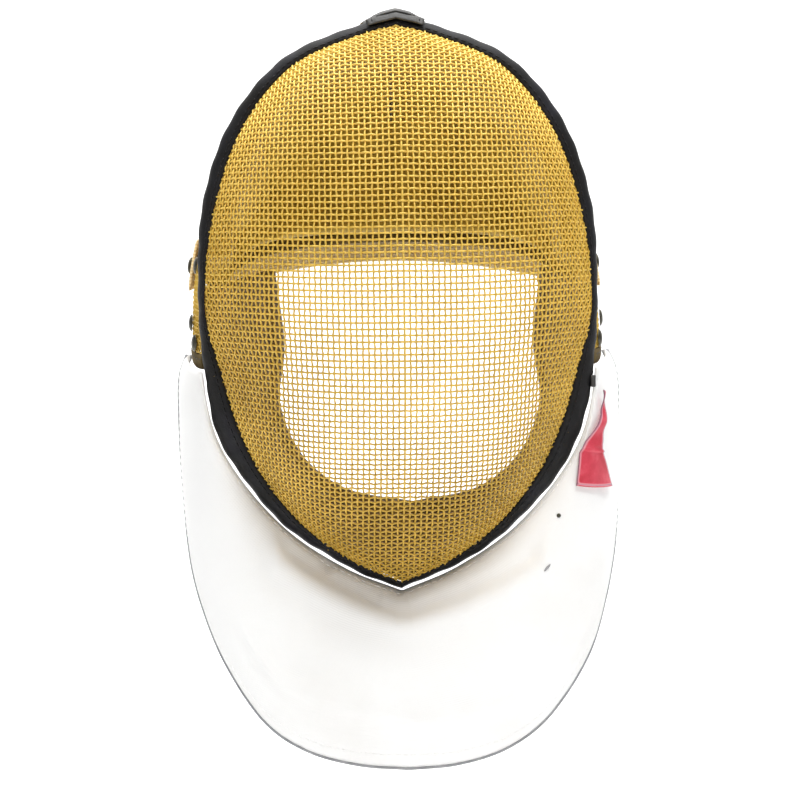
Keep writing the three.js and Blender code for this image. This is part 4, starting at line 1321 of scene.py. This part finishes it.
def make_tongue():
    """The spring tongue and the shorter layer on its front end."""
    make_strip("spring_tongue", "tongue", TONGUE_WIDTH, CLEAR, TONGUE_WALL, 0, None)
    make_strip("tongue_flap", "tongue_cover", COVER_WIDTH, 2 * CLEAR + TONGUE_WALL, COVER_WALL, 1, 7)


def crown_place_at(drop, back):
    """The crown's place at a height below the head seat, on the line that is this far back."""
    place = np.linspace(0, 1, 800)
    heights = crown_point(place, np.full(800, back))[:, 2]
    return float(np.interp(drop, -heights, place))


def strap_end(sign, up):
    """Lines across the strap on one side of the crown, from its riveted end to the rear rim."""
    crown_height = outline.length * EAR
    lift = TAPE_WALL / 2 + 2 * CLEAR + STRAP_WALL / 2
    lines = []
    for back in (0.58, 0.66, 0.74, 0.82, 0.91, 1):
        place = crown_place_at(STRAP_DROP, back)
        half = STRAP_WIDTH / 2 / (crown_height + (rear_rim.length - crown_height) * back)
        lines.append(on_crown(sign * (place - half * up), back, lift))
    return lines


def make_strap():
    """The elastic strap: on the crown from its riveted ends to the rear rim, then behind the head.

    Behind the head it falls as the square of its share of the way out, and it comes forward as the
    cube.
    """
    columns = 13
    up = np.linspace(1, -1, columns)
    behind = []
    for share in (-0.86, -0.66, -0.42, -0.16, 0.16, 0.42, 0.66, 0.86):
        y = REAR_BACK + STRAP_SLACK - STRAP_SLACK * 3 * abs(share) ** 3
        z = -REAR_DROP - STRAP_BELOW_RIM + (REAR_DROP + STRAP_BELOW_RIM - STRAP_DROP) * share**2
        line = [[share * REAR_HALF_WIDTH, y, z + k * STRAP_WIDTH / 2] for k in up]
        behind.append(np.array(line))
    lines = np.stack(strap_end(-1, up) + behind + strap_end(1, up)[::-1])
    middle = np.stack([Curve(lines[:, k], 10).line for k in range(columns)], axis=1)
    normal = grid_normals(middle, FACE_CENTRE)
    half = normal * STRAP_WALL / 2
    outer, inner = bevelled(middle + half, middle - half, rounded_edge(*middle.shape[:2], 1))
    piece = sheet_body("elastic_strap", outer, inner)
    along = lengths_along(middle, 0)
    across = np.broadcast_to((up * STRAP_WIDTH / 2)[None, :], along.shape)
    mark_cloth(piece, both_skins(np.stack([along, across, 0 * along], axis=-1)))
    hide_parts("back_strap")
    finished(piece, "pale_elastic")


# A rivet's section from its base to the dimple in its middle, as shares of its radius and height
RIVET = table("radius height", [
    (0.001, 0), (0.9, 0), (1, 0.08), (1, 0.25), (0.93, 0.45), (0.75, 0.72), (0.5, 0.92), (0.32, 0.98),
    (0.22, 0.9), (0.001, 0.86),
])


def make_rivet(node):
    """A low dome on a flat edge with a shallow dimple: a profile turned about the CAD rivet's axis.

    The axis is the direction in which the CAD rivet's points spread least, and it leads outward.
    """
    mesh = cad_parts[node].data
    points = np.zeros(len(mesh.vertices) * 3)
    mesh.vertices.foreach_get("co", points)
    points = points.reshape(-1, 3)
    centre = (points.min(axis=0) + points.max(axis=0)) / 2
    _, axes = np.linalg.eigh(np.cov((points - centre).T))
    axis, across = axes[:, 0], axes[:, 1]
    if axis @ (centre - FACE_CENTRE) < 0:
        axis = -axis
    height = (points - centre) @ axis
    base = centre + axis * height.min()
    rise = height.max() - height.min()
    flat = points - base - np.outer((points - base) @ axis, axis)
    radius = np.linalg.norm(flat, axis=1).max()
    turn = around(28)
    ring = across * np.cos(turn)[:, None] + np.cross(axis, across) * np.sin(turn)[:, None]
    rings = base + ring * (RIVET["radius"] * radius)[:, None, None]
    rings = rings + axis * (RIVET["height"] * rise)[:, None, None]
    piece = ringed_body(f"{node}_head", rings)
    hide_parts(node)
    finished(piece, "dark_rivet")


def make_rivets():
    """The four rivets of each side."""
    for name in ("strap_rivet", "temple_rivet", "ear_rivet", "corner_rivet"):
        for side in ("left", "right"):
            make_rivet(f"{name}_{side}")


def make_tab():
    """The folded tab beside the trim: a sphere squared off to a rounded block, with a soft waist."""
    low, high = (np.array(corner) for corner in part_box("trim_tab"))
    centre, size = (low + high) / 2, (high - low) / 2
    rows, columns = 24, 13
    u = around(rows)[:, None]
    v = np.linspace(-np.pi / 2, np.pi / 2, columns)[None, :]
    waist = 1 - 0.12 * np.cos(v * 2) ** 4
    x = squared_off(np.cos(v), 0.45) * squared_off(np.cos(u), 0.45) * waist
    y = squared_off(np.cos(v), 0.45) * squared_off(np.sin(u), 0.45) * waist
    z = squared_off(np.sin(v), 0.45) + 0 * u
    grid = centre - [TAB_NEARER, 0, 0] + np.stack([x * TAB_NARROWER, y, z], axis=-1) * size * 0.97
    index = np.arange(rows * columns).reshape(rows, columns)
    following = np.roll(index, -1, axis=0)
    quads = np.stack([index[:, :-1], following[:, :-1], following[:, 1:], index[:, 1:]], axis=-1)
    piece = make_piece("sewn_tab", grid, quads.reshape(-1, 4).tolist())
    face_outward(piece)
    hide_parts("trim_tab")
    finished(piece, "grey_cover")


def make_camera():
    """The photograph's view: level, 1.4 m off, from a little to the left and rolled slightly."""
    distance = 1.4
    turned = math.radians(1.8)
    aim = Vector((0, -0.055, -0.183))
    way = Vector((math.sin(turned), math.cos(turned), 0))
    data = bpy.data.cameras.new("camera")
    data.sensor_width = 36
    data.lens = 123.5
    camera = bpy.data.objects.new("camera", data)
    bpy.context.scene.collection.objects.link(camera)
    camera.location = aim - way * distance
    upright = way.to_track_quat("-Z", "Y")
    camera.rotation_mode = "QUATERNION"
    roll = math.radians(-0.8)
    camera.rotation_quaternion = upright @ Quaternion((0, 0, 1), roll)
    bpy.context.scene.camera = camera


def make_stage():
    """A pale floor that curves up into a backdrop: a flat, a quarter circle and a wall."""
    floor, top = BIB_LOW.z - 0.12, 4.0
    front, bend, radius, side = -4.0, 1.6, 0.8, 5.0
    turn = np.linspace(0, np.pi / 2, 14)
    curve = np.stack([bend + radius * np.sin(turn), floor + radius - radius * np.cos(turn)], axis=-1)
    profile = np.vstack([[front, floor], curve, [bend + radius, top]])
    points = [(x, y, z) for x in (-side, 0, side) for y, z in profile.tolist()]
    mesh = bpy.data.meshes.new("backdrop")
    mesh.from_pydata(points, [], grid_faces(3, len(profile)).tolist())
    mesh.shade_smooth()
    backdrop = bpy.data.objects.new("backdrop", mesh)
    bpy.context.scene.collection.objects.link(backdrop)
    paint = Finish("backdrop_paint", 0.9)
    paint.shader.inputs["Base Color"].default_value = (0.92, 0.92, 0.92, 1)
    backdrop.data.materials.append(paint.material)


def make_lights():
    """Soft studio light: a wide key from above on the right, a fill from the left, one on the backdrop."""
    for name, place, aim, size, power in [
        ("key_light", (0.45, -1.35, 1.7), (0, 0, -0.15), 0.9, 30.5),
        ("fill_light", (-1.4, -1.6, 0.1), (0, 0, -0.2), 1.6, 3.5),
        ("backdrop_light", (0, 0.5, 1.9), (0, 2.2, 0.0), 2.4, 110),
    ]:
        data = bpy.data.lights.new(name, "AREA")
        data.shape = "DISK"
        data.size = size
        data.energy = power
        lamp = bpy.data.objects.new(name, data)
        bpy.context.scene.collection.objects.link(lamp)
        lamp.location = place
        lamp.rotation_mode = "QUATERNION"
        lamp.rotation_quaternion = (Vector(aim) - Vector(place)).to_track_quat("-Z", "Y")
    world = bpy.data.worlds.new("studio")
    world.use_nodes = True
    world.node_tree.nodes["Background"].inputs["Color"].default_value = (1, 1, 1, 1)
    world.node_tree.nodes["Background"].inputs["Strength"].default_value = 0.21
    bpy.context.scene.world = world
    bpy.context.scene.view_settings.view_transform = "Standard"


make_camera()
make_face_mesh()
make_crown_mesh()
make_trim()
make_trim_stitches()
make_rear_trim()
make_crown_pad()
make_chin_pad()
make_bib()
make_tack()
make_patch()
make_tongue()
make_strap()
make_rivets()
make_tab()
make_stage()
make_lights()
